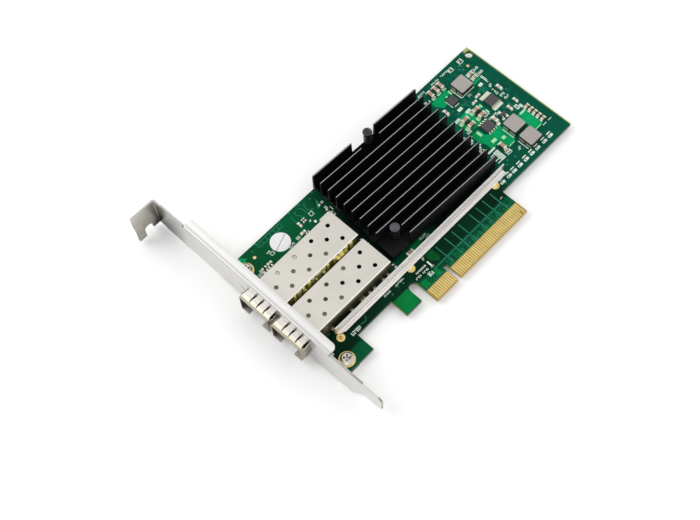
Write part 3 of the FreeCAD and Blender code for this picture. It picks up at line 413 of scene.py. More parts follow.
def sink_material():
    """Black anodising; bare metal on each fin's tip, painted only along its near side as a highlight, and
    painted shade on the plate under the fins.
    """
    mat, shader = new_material("black_anodising", (0.008, 0.008, 0.009), 0.0, 0.42, 0.22)
    fine = noise(mat, 2400, 4, (0.2, 1, 1))
    black = ramp(mat, fine, [(0.3, (0.004, 0.004, 0.005)), (0.7, (0.010, 0.010, 0.012))])
    # distance across the fins from the middle of the nearest one; the near half of its tip shows bare metal
    # as a painted highlight
    turn, half_pitch = math.radians(fin_skew), fin_pitch / 2 * MM
    middle = (sink_low + sink_high) / 2
    from_x = maths(mat, "MULTIPLY_ADD", place(mat, "X"), -math.sin(turn), middle.x * math.sin(turn))
    from_y = maths(mat, "MULTIPLY_ADD", place(mat, "Y"), math.cos(turn), -middle.y * math.cos(turn))
    phase = maths(mat, "WRAP", maths(mat, "ADD", from_x, from_y), half_pitch, -half_pitch)
    near_half = between(mat, phase, -0.45 * MM, -0.05 * MM, 0.05 * MM)
    bare_tip_highlight = multiply(mat, along(mat, "Z", -0.08, -0.04, base=sink_high.z), near_half)
    # the plate under the fins: painted shade and little gloss, most of both by the far pin
    plate = multiply(mat, facing_up(mat), along(mat, "Z", 2.7, 4.7, 1.0, 0.0, sink_low.z))
    plate = multiply(mat, plate, along(mat, "Y", 13.91, 33.91, 0.35, 0.95, sink_low.y))
    link(mat, map_range(mat, plate, 0, 1, 0.22, 0.0), shader.inputs["Specular IOR Level"])
    black = mix_colour(mat, plate, black, (0.002, 0.002, 0.0025))
    link(mat, mix_colour(mat, bare_tip_highlight, black, (0.66, 0.66, 0.67)), shader.inputs["Base Color"])
    bump(mat, shader, fine, 0.08, 0.03)
    return mat


def gold(name, colour):
    """Plated gold, cloudy in colour and gloss."""
    roughness = 0.3
    mat, shader = new_material(name, colour, 1.0, roughness)
    cloud = noise(mat, 260, 3)
    pale = tuple(min(1, c * 1.08) for c in colour)
    deep = tuple(c * 0.86 for c in colour)
    link(mat, ramp(mat, cloud, [(0.3, deep), (0.7, pale)]), shader.inputs["Base Color"])
    link(mat, map_range(mat, cloud, 0.2, 0.8, roughness - 0.05, roughness + 0.08), shader.inputs["Roughness"])
    return mat


MATERIALS = {
    "board_laminate": board_material(),
    "contact_gold": gold("finger_gold", (0.93, 0.71, 0.27)),
    "ring_gold": gold("ring_gold", (0.93, 0.74, 0.31)),
    "bracket_steel": bracket_material(),
    "screw_steel": steel("screw_nickel", (0.80, 0.77, 0.70), 0.2, grain=2000)[0],
    "cage_steel": cage_material(),
    "spring_steel": collar_material(),
    "connector_plastic": plastic("connector_black", (0.02, 0.02, 0.02), 0.4),
    "light_plastic": plastic("light_black", (0.03, 0.03, 0.03), 0.45),
    "light_lens": plastic("lens_clear", (0.62, 0.66, 0.60), 0.15),
    "chip_substrate": plastic("substrate_green", (0.02, 0.12, 0.05), 0.4),
    "chip_lid": steel("lid_nickel", (0.6, 0.6, 0.6), 0.35)[0],
    "thermal_pad": plastic("pad_grey", (0.3, 0.3, 0.33), 0.8),
    "sink_anodised": sink_material(),
    "pin_nylon": pin_material(),
    "pin_spring": steel("pin_spring_dark", (0.09, 0.09, 0.095), 0.35)[0],
    "bar_steel": bar_material(),
    "inductor_ferrite": shaded_sides("pressed_ferrite", (0.395, 0.37, 0.35), (0.05, 0.038, 0.03), 0.7),
    "tinned_copper": shaded_sides("tin_plate", (0.94, 0.97, 0.82), (0.62, 0.62, 0.47), 0.4, 0.55, 0.05),
    "package_resin": plastic("package_resin", (0.082, 0.078, 0.082), 0.5, 3000, 0.2, 0.3, 0.25),
    "ceramic_body": shaded_sides("ceramic_brown", (0.43, 0.31, 0.225), (0.12, 0.06, 0.03), 0.5),
    "sticker_paper": plastic("sticker_white", (0.88, 0.88, 0.89), 0.55, 1500, 0.05, 0.03, 0.2),
}
# solder mask over copper
POUR_GREEN = mask_material("mask_over_pour", (0.0016, 0.26, 0.075), (0.002, 0.40, 0.14))
FIELD_GREEN = mask_material("mask_over_field", (0.001, 0.13, 0.075), (0.0016, 0.19, 0.10))
HOOK_GREEN = mask_material("mask_over_hook", (0.0014, 0.155, 0.030), (0.0018, 0.215, 0.052))
PATCH_GREEN = mask_material("mask_over_patch", (0.0010, 0.070, 0.013), (0.0014, 0.105, 0.021))
TRACE_GREEN = mask_material("mask_over_trace", (0.02, 0.19, 0.11), (0.045, 0.27, 0.165))
# inks and small parts
SILK_WHITE = plastic("silkscreen_ink", (0.74, 0.87, 0.76), 0.6, 2400, 0.2, 0.1, 0.2)
MINT_INK = plastic("pale_green_ink", (0.42, 0.84, 0.46), 0.6, 2400, 0.2, 0.1, 0.1)
RESISTOR_BLACK = plastic("resistor_body", (0.03, 0.028, 0.028), 0.45, 3000, 0.1, 0.3)
CHIP_PALE = plastic("chip_pale", (0.50, 0.44, 0.42), 0.5, 2600, 0.1, 0.15)
# tabs and fingers in the gap between the cages, coloured as painted reflection of the green board and its
# gold: the brighter ones painted sheen, the duller ones painted shade
OLIVE = plastic("olive_plate", (0.20, 0.20, 0.035), 0.5, specular=0.5)
PALE_OLIVE = plastic("olive_lug", (0.55, 0.53, 0.22), 0.5, specular=0.5)
TAB_REFLECTION = plastic("tab_painted_reflection", (1.0, 0.84, 0.24), 0.5, variation=0.05, specular=0.5)
FINGER_REFLECTION = plastic("finger_painted_reflection", (0.62, 0.47, 0.12), 0.5, specular=0.4)
SHADED_FINGER_REFLECTION = plastic("shaded_finger_painted_reflection", (0.27, 0.24, 0.05), 0.5, specular=0.3)
# painted shade for hollows, slits and gaps, and painted light and shade seen through the vents
HOLLOW_SHADE = plastic("hollow_painted_shade", (0.42, 0.19, 0.035), 0.4, specular=0.4)
RECESS_SHADE = plastic("recess_shadow", (0.075, 0.045, 0.03), 0.5, specular=0.3)
SHADE_BROWN = plastic("slit_brown", (0.03, 0.022, 0.015), 0.8, specular=0.05)
VENT_PALE = plastic("vent_pale", (0.66, 0.65, 0.53), 0.5, specular=0.2)
VENT_OLIVE = plastic("vent_olive", (0.18, 0.17, 0.11), 0.5, specular=0.2)
VENT_DIM = plastic("vent_dim", (0.075, 0.068, 0.045), 0.5, specular=0.2)

slot_of = {s["node"]: s["material_slot"] for s in frame["record"]["subparts"]}
for name, piece in frame["nodes"].items():
    for material_slot in piece.material_slots:
        material_slot.material = MATERIALS[slot_of[name]]


# ---------------------------------------------------------------- detail, in mm above the board's face
POUR_TOP, TRACE_TOP, PAD_TOP, INK_TOP = 0.015, 0.025, 0.04, 0.05
VIA_RADIUS = 0.38
rng = random.Random(11)


def box_mm(node):
    """Lowest and highest corner of a node, in the units of the detail."""
    return [(corner - Vector((0, 0, board_high.z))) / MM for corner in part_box(node)]


def middle_of(node):
    low, high = box_mm(node)
    return (low.x + high.x) / 2, (low.y + high.y) / 2


class Shapes:
    """Collects closed prisms and makes one mesh of them."""

    def __init__(self, bottom=0.0, top=PAD_TOP):
        self.verts = []
        self.faces = []
        self.layer = (bottom, top)

    def prism(self, outline, layer=None):
        area = sum(a[0] * b[1] - b[0] * a[1] for a, b in zip(outline, outline[1:] + outline[:1]))
        if area < 0:
            outline = outline[::-1]
        first, count = len(self.verts), len(outline)
        for z in layer or self.layer:
            self.verts += [(x, y, z) for x, y in outline]
        self.faces.append(tuple(first + i for i in reversed(range(count))))
        self.faces.append(tuple(first + count + i for i in range(count)))
        for i in range(count):
            n = (i + 1) % count
            self.faces.append((first + i, first + n, first + count + n, first + count + i))

    def rect(self, x, y, w, h, corner=0.0, layer=None):
        """Rectangle about its middle, with cut corners if asked."""
        x0, x1, y0, y1, c = x - w / 2, x + w / 2, y - h / 2, y + h / 2, corner
        if c:
            outline = [(x0 + c, y0), (x1 - c, y0), (x1, y0 + c), (x1, y1 - c),
                       (x1 - c, y1), (x0 + c, y1), (x0, y1 - c), (x0, y0 + c)]
        else:
            outline = [(x0, y0), (x1, y0), (x1, y1), (x0, y1)]
        self.prism(outline, layer)

    def disc(self, x, y, radius, sides=20, layer=None):
        turns = [2 * math.pi * i / sides for i in range(sides)]
        self.prism([(x + radius * math.cos(t), y + radius * math.sin(t)) for t in turns], layer)

    def stroke(self, points, width):
        """Line of constant width, one prism per run, with round joints."""
        half = width / 2
        for (xa, ya), (xb, yb) in zip(points, points[1:]):
            length = math.hypot(xb - xa, yb - ya)
            ux, uy = (xb - xa) / length * half, (yb - ya) / length * half
            self.prism([(xa - uy, ya + ux), (xa + uy, ya - ux), (xb + uy, yb - ux), (xb - uy, yb + ux)])
        for x, y in points[1:-1]:
            self.disc(x, y, half, 8)

    def frame(self, x, y, w, h, line):
        """Thin rectangular outline about its middle."""
        for side in (-1, 1):
            self.rect(x, y + side * (h - line) / 2, w, line)
            self.rect(x + side * (w - line) / 2, y, line, h - 2 * line)

    def make(self, name, slot, material):
        mesh = bpy.data.meshes.new(name)
        mesh.from_pydata([(x * MM, y * MM, board_high.z + z * MM) for x, y, z in self.verts], [], self.faces)
        mesh.update()
        mesh.materials.append(material)
        piece = bpy.data.objects.new(name, mesh)
        bpy.context.scene.collection.objects.link(piece)
        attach(piece, "root")


def make_fields():
    """Copper fields under the mask, each kind a little brighter than the board around it."""
    pours = Shapes(0, POUR_TOP)
    for outline in (
        [(51.2, 61.0), (60.2, 61.0), (60.2, 58.6), (56.0, 58.3), (55.4, 56.0), (53.2, 55.8),
         (51.2, 58.6)],
        [(51.6, 48.0), (58.6, 48.0), (58.6, 40.2), (54.6, 39.9), (51.6, 41.5)],
        [(50.4, 38.8), (54.6, 38.8), (54.8, 34.6), (61.4, 34.6), (62.2, 33.6), (62.2, 26.0),
         (60.4, 24.5), (57.0, 24.5), (56.6, 28.4), (51.6, 28.4), (51.6, 32.0), (50.4, 34.0)],
        [(70.0, 31.5), (74.8, 31.5), (74.8, 21.6), (70.0, 21.6)],
        [(69.8, 55.4), (74.0, 55.4), (74.6, 54.2), (69.8, 53.9)],
        [(-57.0, 68.8), (-51.6, 68.8), (-49.4, 66.4), (-52.0, 65.6), (-57.0, 66.2)],
    ):
        pours.prism(outline)
    pours.make("copper_pours", "board_laminate", POUR_GREEN)
    fields = Shapes(0, POUR_TOP)
    for outline in (
        [(69.2, 50.4), (72.6, 50.8), (72.4, 48.6), (69.4, 48.2)],
        [(62.6, 48.8), (64.6, 46.6), (64.6, 42.0), (63.0, 41.0), (61.8, 48.8)],
        [(46.8, 46.5), (51.4, 48.0), (51.4, 42.0), (48.0, 41.0)],
    ):
        fields.prism(outline)
    fields.make("copper_fields", "board_laminate", FIELD_GREEN)
    hook = Shapes(0, POUR_TOP)
    # x, y, width and height: the hook tab, one behind the bar, two beside the notches
    for field in (
        (-20.8, 8.4, 7.7, 7.2), (-0.4, 22.0, 4.6, 2.0), (-10.55, 8.15, 2.7, 3.1), (-3.85, 8.25, 2.5, 3.1),
    ):
        hook.rect(*field)
    hook.make("hook_field", "board_laminate", HOOK_GREEN)
    patch = Shapes(0, POUR_TOP)
    patch.prism([(-2.0, 16.5), (1.8, 16.5), (1.8, 12.0), (0.6, 10.9), (-2.0, 13.0)])
    patch.make("patch_by_key", "board_laminate", PATCH_GREEN)


def make_traces():
    """Lines under the mask and vias."""
    lines = Shapes(POUR_TOP / 2, TRACE_TOP)
    bus_width, rung_width, pair_width, stub_width = 0.34, 0.42, 0.15, 0.2
    comb_width, line_width, dash_width = 0.22, 0.26, 0.25
    # bus between the bar and the contacts: one long line and its rungs
    lines.stroke([(-3.5, 9.9), (35.3, 9.9)], bus_width)
    for x in (3.65, 8.8, 12.8, 16.9, 23.1, 27.0, 31.1, 35.4):
        lines.stroke([(x, 15.9), (x, 6.3)], rung_width)
    # fan-out from the contacts: paired lines beyond the key, short stubs before it
    root_y, bend_y = 5.9, 6.5
    for i in range(38):
        x = 1.5 + i
        lean = (0.55, -0.45)[i % 2]
        rise = 7.0 + 0.4 * (i % 5)
        lines.stroke([(x, root_y), (x, bend_y), (x + lean, rise), (x + lean, rise + 0.9)], pair_width)
    for i in range(11):
        lines.stroke([(-1.5 - i, root_y), (-1.5 - i, 6.6 + 0.5 * (i % 3))], stub_width)
    # comb by the sticker
    comb_low, comb_high = 66.1, 68.0
    teeth = (-43.0, -42.0, -40.5, -38.0, -36.0, -34.0, -31.8, -30.1)
    for y in (comb_high, comb_low):
        lines.stroke([(teeth[0], y), (teeth[-1], y)], comb_width)
    for x in teeth:
        lines.stroke([(x, comb_low), (x, comb_high)], comb_width)
    # lines up to the board's edge and among the power parts
    for points in (
        [(-25.2, 63.2), (-25.2, 66.8)], [(-19.4, 63.2), (-19.4, 66.1), (-20.7, 67.4)],
        [(-18.2, 63.2), (-18.2, 66.1), (-16.9, 67.4)],
        [(-22.4, 63.2), (-22.0, 64.4), (-23.2, 65.4), (-22.6, 67.0)], [(-21.2, 62.6), (-21.6, 63.8)],
        [(-39.7, 14.8), (-37.0, 14.4), (-35.8, 16.2)], [(66.0, 48.4), (68.2, 50.6), (71.8, 51.3)],
        [(66.0, 48.0), (68.8, 49.9)], [(71.9, 51.8), (70.4, 49.2), (69.8, 47.9)],
        [(58.9, 51.6), (60.9, 49.6), (60.9, 48.2)], [(63.0, 49.4), (61.6, 51.2), (61.6, 52.6)],
        [(57.4, 53.0), (57.4, 51.6)], [(58.6, 53.0), (58.6, 51.6)],
        [(66.8, 39.0), (69.0, 39.6), (71.2, 38.6)], [(72.4, 38.4), (73.2, 35.0)],
        [(69.6, 38.0), (72.4, 33.0)], [(75.2, 56.0), (75.2, 50.2), (73.8, 48.2)],
        [(70.6, 21.5), (73.9, 21.5)], [(57.0, 24.3), (60.5, 24.3), (62.0, 25.8)],
        [(-57.6, 22.4), (-50.2, 20.6)],
    ):
        lines.stroke(points, line_width)
    lines.prism([(-15.4, 61.2), (-12.9, 61.6), (-12.7, 65.4)])
    for x in (50.6, 56.6, 63.0, 70.9):
        lines.stroke([(x, 15.0), (x, 14.1)], dash_width)
    # tented vias
    for x, y in (
        (71.4, 63.8), (72.6, 65.0), (72.6, 62.6), (73.4, 64.4), (51.8, 20.7), (50.1, 19.4),
        (55.3, 19.4), (60.2, 19.5), (60.8, 50.8), (62.0, 50.4), (-46.0, 67.0), (-43.0, 68.6),
        (-24.4, 68.4), (-22.6, 66.9), (-19.2, 68.3), (-16.9, 62.8), (-14.2, 66.9), (-11.6, 68.3),
        (-17.4, 63.0), (-18.6, 15.2), (-22.4, 14.4), (-16.2, 14.6), (64.6, 15.0), (43.6, 14.4),
        (58.4, 15.0), (51.6, 51.8), (55.0, 49.8), (54.4, 52.0), (66.4, 52.4), (68.6, 41.0),
        (77.2, 43.0),
    ):
        lines.disc(x, y, VIA_RADIUS, 12)
    lines.make("signal_traces", "board_laminate", TRACE_GREEN)


def mark(ink, x, y, w, h):
    """Generic reference mark: a few upright bars, some tied together, no characters."""
    line, bar, step = 0.28, 0.336, 0.62
    count = max(1, int(w / step + 0.5))
    left = x - (count - 1) * step / 2
    for i in range(count):
        tall = h * rng.choice((1.0, 1.0, 0.75, 0.5))
        lift = (h - tall) / 2 * rng.choice((-1, 1))
        ink.rect(left + i * step, y + lift, bar, tall)
        if i and rng.random() < 0.45:
            side = rng.choice((-1, 1))
            ink.rect(left + (i - 0.5) * step, y + side * (h - line) / 2, step, line)


def make_silkscreen():
    """White outlines, dashes and marks, without any lettering; x, y, width and height of each."""
    ink = Shapes(TRACE_TOP, INK_TOP)
    thin, thick = 0.24, 0.46
    for spot in (
        (65.6, 67.0, 4.4, 0.8), (60.0, 67.1, 4.4, 0.8), (51.6, 67.2, 4.6, 0.8), (49.8, 62.8, 1.5, 1.3),
        (51.4, 62.4, 1.2, 1.0), (76.5, 59.1, 2.6, 1.2), (76.5, 56.4, 2.6, 1.2), (75.1, 53.0, 1.1, 4.2),
        (64.8, 52.0, 1.4, 1.0), (74.3, 49.1, 2.0, 1.4), (73.3, 44.5, 1.1, 1.1), (74.2, 42.6, 2.5, 1.2),
        (74.5, 40.6, 2.5, 1.2), (51.4, 40.5, 2.6, 1.2), (47.8, 40.1, 1.4, 1.0), (62.3, 40.7, 3.0, 1.1),
        (62.4, 38.5, 2.2, 0.9), (65.0, 38.2, 1.6, 1.4), (59.4, 20.8, 1.8, 1.4), (-7.4, 13.5, 5.4, 0.8),
        (-10.4, 11.9, 3.0, 0.9), (-6.6, 11.8, 3.2, 0.8), (-6.0, 9.6, 2.6, 1.9), (-42.7, 14.3, 5.2, 1.6),
        (-23.6, 16.0, 4.0, 0.7), (-17.0, 16.0, 5.0, 0.7), (-3.4, 15.9, 1.2, 1.2),
        (-53.6, 58.0, 3.0, 1.4), (-50.6, 57.5, 2.4, 1.4), (-32.7, 57.7, 1.4, 1.0),
        (-29.6, 58.0, 1.6, 1.4), (-12.2, 62.3, 1.8, 1.0), (-12.6, 59.4, 1.2, 1.6),
        (-11.2, 57.4, 0.9, 2.6), (44.0, 11.2, 0.6, 0.6), (-56.2, 14.4, 2.2, 1.6),
        (37.2, 11.3, 1.6, 0.5), (-41.9, 62.2, 1.8, 0.7), (-21.0, 59.8, 1.2, 0.8),
        (-34.0, 57.3, 2.6, 0.6), (3.6, 22.6, 3.6, 1.2), (5.0, 21.4, 2.4, 0.8), (-26.4, 58.1, 1.6, 1.2),
        (-49.4, 58.5, 2.0, 1.2),
    ):
        mark(ink, *spot)
    # solid blocks and bars
    for block in (
        (-3.3, 12.5, 0.7, 3.2), (-3.3, 11.2, 1.3, 0.5),
        (61.5, 20.6, 0.4, 5.4), (61.6, 56.8, 0.5, 6.0), (65.6, 53.6, 7.4, 0.35), (61.5, 28.6, 0.4, 6.0),
        (75.0, 20.7, 2.0, 0.3), (78.1, 20.7, 1.8, 0.3), (55.8, 55.4, 0.35, 4.4), (57.9, 52.9, 2.6, 0.3),
        (-34.6, 22.1, 2.8, 0.5),
    ):
        ink.rect(*block)
    # hatched block beside the sink, a bar over it and the dashes next to it
    step_x, step_y = 0.62, 0.84
    for i in range(6):
        for j in range(4):
            ink.rect(50.65 + j * step_x, 22.4 + i * step_y, 0.55, 0.76 if (i + j) % 3 else 0.6)
    ink.rect(50.9, 28.2, 4.0, 0.85)
    for y in (26.4, 23.7, 22.4):
        ink.rect(49.3, y, 2.0, 0.42)
    # outlines round small parts
    for outline in (
        (68.8, 66.2, 2.5, 2.0), (74.7, 66.2, 2.4, 2.2), (55.2, 22.9, 2.5, 2.0), (-41.2, 60.7, 1.7, 1.5),
        (-18.5, 61.8, 1.8, 1.9), (73.0, 59.0, 3.9, 1.9), (73.0, 56.6, 3.9, 1.9),
    ):
        ink.frame(*outline, thin)
    # heavy rings
    for ring in (
        (57.1, 50.5, 2.4, 1.4), (52.2, 47.5, 2.7, 1.4), (58.7, 47.5, 2.6, 1.4), (71.8, 52.3, 2.0, 1.4),
        (73.3, 44.6, 1.2, 1.2), (73.6, 34.2, 1.5, 2.4), (75.2, 33.4, 1.0, 1.8), (64.8, 52.1, 1.4, 1.2),
    ):
        ink.frame(*ring, thick)
    # strokes by the ends of the fins
    for stroke in (
        (46.5, 40.0, 1.4, 0.7), (48.9, 37.2, 1.4, 1.2), (47.9, 36.2, 1.6, 0.5), (48.8, 32.6, 1.2, 1.0),
        (47.9, 31.6, 1.6, 0.5), (49.9, 33.6, 0.7, 1.0), (50.4, 38.8, 0.5, 1.2),
    ):
        ink.rect(*stroke)
    ink.make("silkscreen_marks", "sticker_paper", SILK_WHITE)


def make_edge_row():
    """Row along the lower edge: a wide land and a narrow one above it; returns the wide lands' places."""
    rows = Shapes()
    places = [(x, 15.4) for x in (43.0, 46.9, 50.0, 53.6, 57.3, 61.0, 64.4, 68.6, 72.2)]
    for x, y in places:
        rows.rect(x, y, 2.5, 1.15, 0.3)
        rows.rect(x + 0.2, y + 1.45, 2.2, 0.5, 0.15)
    rows.make("edge_row_marks", "sticker_paper", SILK_WHITE)
    return places


def make_lands(edge_row):
    """Tinned lands and solder, under the parts and bare, and the vias in them."""
    holes = Shapes(PAD_TOP, INK_TOP)
    for x, y in edge_row:
        holes.rect(x - 0.45, y + 0.05, 0.7, 0.5, 0.2)
    holes.disc(-41.2, 60.7, VIA_RADIUS, 12)
    lands = Shapes()
    # at the chip capacitors' ends: x, y, turned across the board, length
    land, large = 0.75, 3
    for x, y, turned, length in (
        (59.96, 64.1, 1, 3.2), (57.26, 64.1, 1, 3.2), (54.16, 64.1, 1, 3.2), (60.96, 45.5, 0, 3.2),
        (60.96, 42.1, 0, 3.2), (54.46, 45.5, 0, 3.2), (54.46, 42.1, 0, 3.2), (55.36, 26.3, 1, 3.2),
        (72.76, 58.8, 0, 2.0), (72.76, 56.4, 0, 2.0), (76.36, 22.8, 0, 2.0), (76.36, 24.95, 0, 2.0),
        (76.36, 27.1, 0, 2.0), (76.36, 29.25, 0, 2.0), (76.36, 31.4, 0, 2.0),
    ):
        reach, wide = length / 2 + 0.15, 1.75 if length > large else 1.35
        for side in (-1, 1):
            if turned:
                lands.rect(x, y + side * reach, wide, land, 0.1)
            else:
                lands.rect(x + side * reach, y, land, wide, 0.1)
    # under the leads of the packages
    lead_pitch = 0.65
    x, y = middle_of("logic_package")
    for i in range(8):
        for side in (-1, 1):
            lands.rect(x + (i - 3.5) * lead_pitch, y + side * 3.5, 0.54, 1.7)
    lead_pitch = 1.27
    x, y = middle_of("memory_package")
    for i in range(4):
        for away, height in ((-2.7, 0.5), (3.0, 1.1)):
            lands.rect(x + (i - 1.5) * lead_pitch, y + away, 0.6, height, 0.1)
    x, y = middle_of("transistor_package")
    for dx, dy in ((0, 1.8), (-1.06, -1.5), (1.04, -1.5)):
        lands.rect(x + dx, y + dy, 1.2, 1.1, 0.1)
    # bare ones
    for opening in ((62.4, 34.4, 1.6, 1.2), (-19.8, 58.2, 1.0, 1.2)):
        lands.rect(*opening, 0.2)
    return lands, holes


def make_pads():
    """Everything solderable, the pale green marks and the shade between two capacitors."""
    lands, holes = make_lands(make_edge_row())
    mint = Shapes()
    for patch in (
        (53.5, 37.0, 1.2, 2.6), (55.2, 30.6, 2.5, 1.5), (59.0, 28.7, 1.7, 1.4), (58.8, 24.3, 3.4, 0.35),
        (53.8, 61.8, 2.0, 0.9), (56.9, 61.8, 2.0, 0.9), (60.0, 61.8, 1.9, 0.9), (51.7, 45.2, 1.1, 1.8),
        (51.7, 41.9, 1.1, 1.8), (58.5, 45.6, 1.2, 1.8), (58.5, 42.0, 1.2, 1.8), (57.1, 50.5, 1.6, 0.6),
        (52.2, 47.5, 1.8, 0.6), (58.7, 47.5, 1.8, 0.6), (71.8, 52.3, 1.2, 0.6), (64.0, 41.8, 0.8, 1.8),
        (64.0, 45.4, 0.8, 1.6), (73.2, 31.0, 3.0, 0.9), (72.0, 21.6, 3.6, 0.3), (60.4, 59.0, 0.8, 2.2),
        (57.9, 58.6, 0.9, 0.7),
    ):
        mint.rect(*patch, 0.1)
    mint.make("pale_green_marks", "board_laminate", MINT_INK)
    gaps = Shapes(0, POUR_TOP * 1.3)
    for x, y in ((54.4, 43.9), (60.9, 43.9)):
        gaps.rect(x, y, 2.8, 1.0, 0.3)
    gaps.make("capacitor_gap_shade", "board_laminate", SHADE_BROWN)
    lands.make("solder_lands", "tinned_copper", MATERIALS["tinned_copper"])
    holes.make("land_vias", "board_laminate", MATERIALS["board_laminate"])


def make_small_chips():
    """Small resistors and capacitors: body between two tinned ends."""
    bodies, pale, ends = Shapes(), Shapes(), Shapes()
    # x, y, turned across the board, length, pale body
    for x, y, turned, length, light in (
        (62.9, 36.8, 1, 3.0, 1), (75.9, 45.8, 1, 2.6, 1), (71.2, 36.0, 1, 2.4, 1),
        (75.6, 36.8, 1, 2.2, 1), (51.9, 53.6, 1, 2.6, 1), (63.6, 48.3, 0, 2.1, 1),
        (66.8, 49.5, 0, 2.1, 1), (-25.2, 61.6, 1, 2.0, 1), (-23.2, 61.9, 1, 1.4, 0),
        (-22.2, 61.9, 1, 1.4, 0), (-45.0, 58.5, 0, 1.9, 1), (-47.9, 58.5, 0, 1.9, 0),
        (-48.4, 57.0, 0, 1.9, 0), (-45.6, 57.2, 0, 1.7, 0), (-26.6, 58.2, 0, 2.1, 1),
        (-25.4, 57.0, 0, 1.2, 0), (-13.2, 57.6, 1, 1.8, 0), (-13.0, 62.0, 0, 1.6, 0),
        (68.8, 66.2, 0, 1.7, 0), (74.7, 66.2, 0, 1.7, 0), (-12.4, 55.4, 1, 1.7, 0),
        (-13.2, 22.0, 1, 1.7, 0), (-13.6, 38.6, 1, 1.7, 0), (-13.2, 36.6, 1, 1.7, 0),
        (73.3, 46.4, 1, 1.4, 0), (47.8, 43.6, 0, 1.7, 0), (48.2, 30.6, 0, 1.7, 0),
        (55.3, 22.9, 0, 1.5, 1),
    ):
        width, height, end = length * 0.5, length * 0.26, length * 0.26
        away, middle, plating = (length - end) / 2, length - 2 * end, 0.02
        body = pale if light else bodies
        for shape, offset, run, lift in (
            (body, 0, middle, 0), (ends, away, end, plating), (ends, -away, end, plating),
        ):
            layer = (0, height + lift)
            if turned:
                shape.rect(x, y + offset, width + lift, run, layer=layer)
            else:
                shape.rect(x + offset, y, run, width + lift, layer=layer)
        solder_away, solder = length * 0.55, length * 0.2
        for side in (-1, 1):
            if turned:
                ends.rect(x, y + side * solder_away, width, solder)
            else:
                ends.rect(x + side * solder_away, y, solder, width)
    bodies.make("resistor_bodies", "package_resin", RESISTOR_BLACK)
    pale.make("pale_chip_bodies", "ceramic_body", CHIP_PALE)
    ends.make("small_chip_ends", "tinned_copper", MATERIALS["tinned_copper"])


def make_gold_spots():
    """Fiducials and the solder in the plated holes; the hole beside the bracket gets a painted shade, to read
    hollow, and a painted glint.
    """
    spots = Shapes()
    for x, y in ((-47.2, 64.5), (75.3, 62.3)):
        spots.disc(x, y, 0.68)
    # the holes' middles are in line with the bar's front
    first_hole, hole_line = plate_front / MM + 12.2, bar_low.y / MM
    fill_top, hollow_top, glint_top = 0.02, 0.05, 0.07
    for offset in (0, 39.0, 88.4):
        spots.disc(first_hole + offset, hole_line, 0.88, layer=(-0.4, fill_top))
    spots.make("fiducials_and_fills", "ring_gold", MATERIALS["ring_gold"])
    # painted shade in the hole beside the bracket, with a painted glint on it
    hollow, glint = Shapes(fill_top, hollow_top), Shapes(hollow_top, glint_top)
    hollow.disc(first_hole, hole_line, 0.66, 16)
    glint.disc(first_hole + 0.09, hole_line - 0.1, 0.28, 10)
    hollow.make("hollow_pin", "ring_gold", HOLLOW_SHADE)
    glint.make("hollow_pin_glint", "ring_gold", MATERIALS["ring_gold"])


def make_gap_tabs():
    """Plate, tabs and fingers of the upper cage, in the gap between the two, coloured as painted reflection
    of the board and its gold, brighter with painted sheen in places and darker with painted shade in others.
    """
    wall = box_mm("cage_shell_1")[0].y    # near wall of the upper cage
    strip = Shapes(4.2, 9.3)
    strip.rect(-35.5, wall - 0.02, 36.0, 0.03)
    strip.make("cage_gap_plate", "cage_steel", OLIVE)
    # how each kind stands: distance from the wall, depth, bottom and top; then its spans along the wall
    upright, bent_out = (0.16, 0.3, 5.4, 9.4), (0.95, 1.5, 9.2, 9.35)
    for name, material, stance, spans in (
        ("cage_gap_tabs", TAB_REFLECTION, upright,
         ((-51.2, -50.2), (-46.6, -45.6), (-43.8, -42.2), (-33.5, -32.4), (-29.9, -28.3),
          (-26.8, -24.7), (-23.7, -22.2), (-21.1, -19.6))),
        ("cage_gap_lugs", PALE_OLIVE, upright,
         ((-49.4, -47.2), (-41.6, -40.2), (-39.2, -36.6), (-35.6, -34.2))),
        ("gap_fingers", FINGER_REFLECTION, bent_out, ((-28.9, -27.3), (-27.0, -25.2))),
        ("gap_fingers_shaded", SHADED_FINGER_REFLECTION, bent_out,
         ((-46.5, -45.7), (-40.5, -39.8), (-36.7, -35.5), (-24.8, -23.5))),
    ):
        away, depth, bottom, top = stance
        tabs = Shapes(bottom, top)
        for x0, x1 in spans:
            tabs.rect((x0 + x1) / 2, wall - away, x1 - x0, depth)
        tabs.make(name, "cage_steel", material)


def make_screw_shade():
    """Painted shade round the recess in each screw's head."""
    low, high = box_mm("bracket_screws")
    radius = (high.x - low.x) / 2
    marks = Shapes(high.z - 0.02, high.z + 0.02)
    for y in (low.y + radius, high.y - radius):
        for dx, dy in ((-0.68, 1.0), (1.2, -0.73), (0.72, 0.69), (-0.72, -0.69), (0.3, -0.9)):
            marks.disc(low.x + radius + dx, y + dy, 0.36, 10)
    marks.make("screw_recess_shade", "screw_steel", RECESS_SHADE)


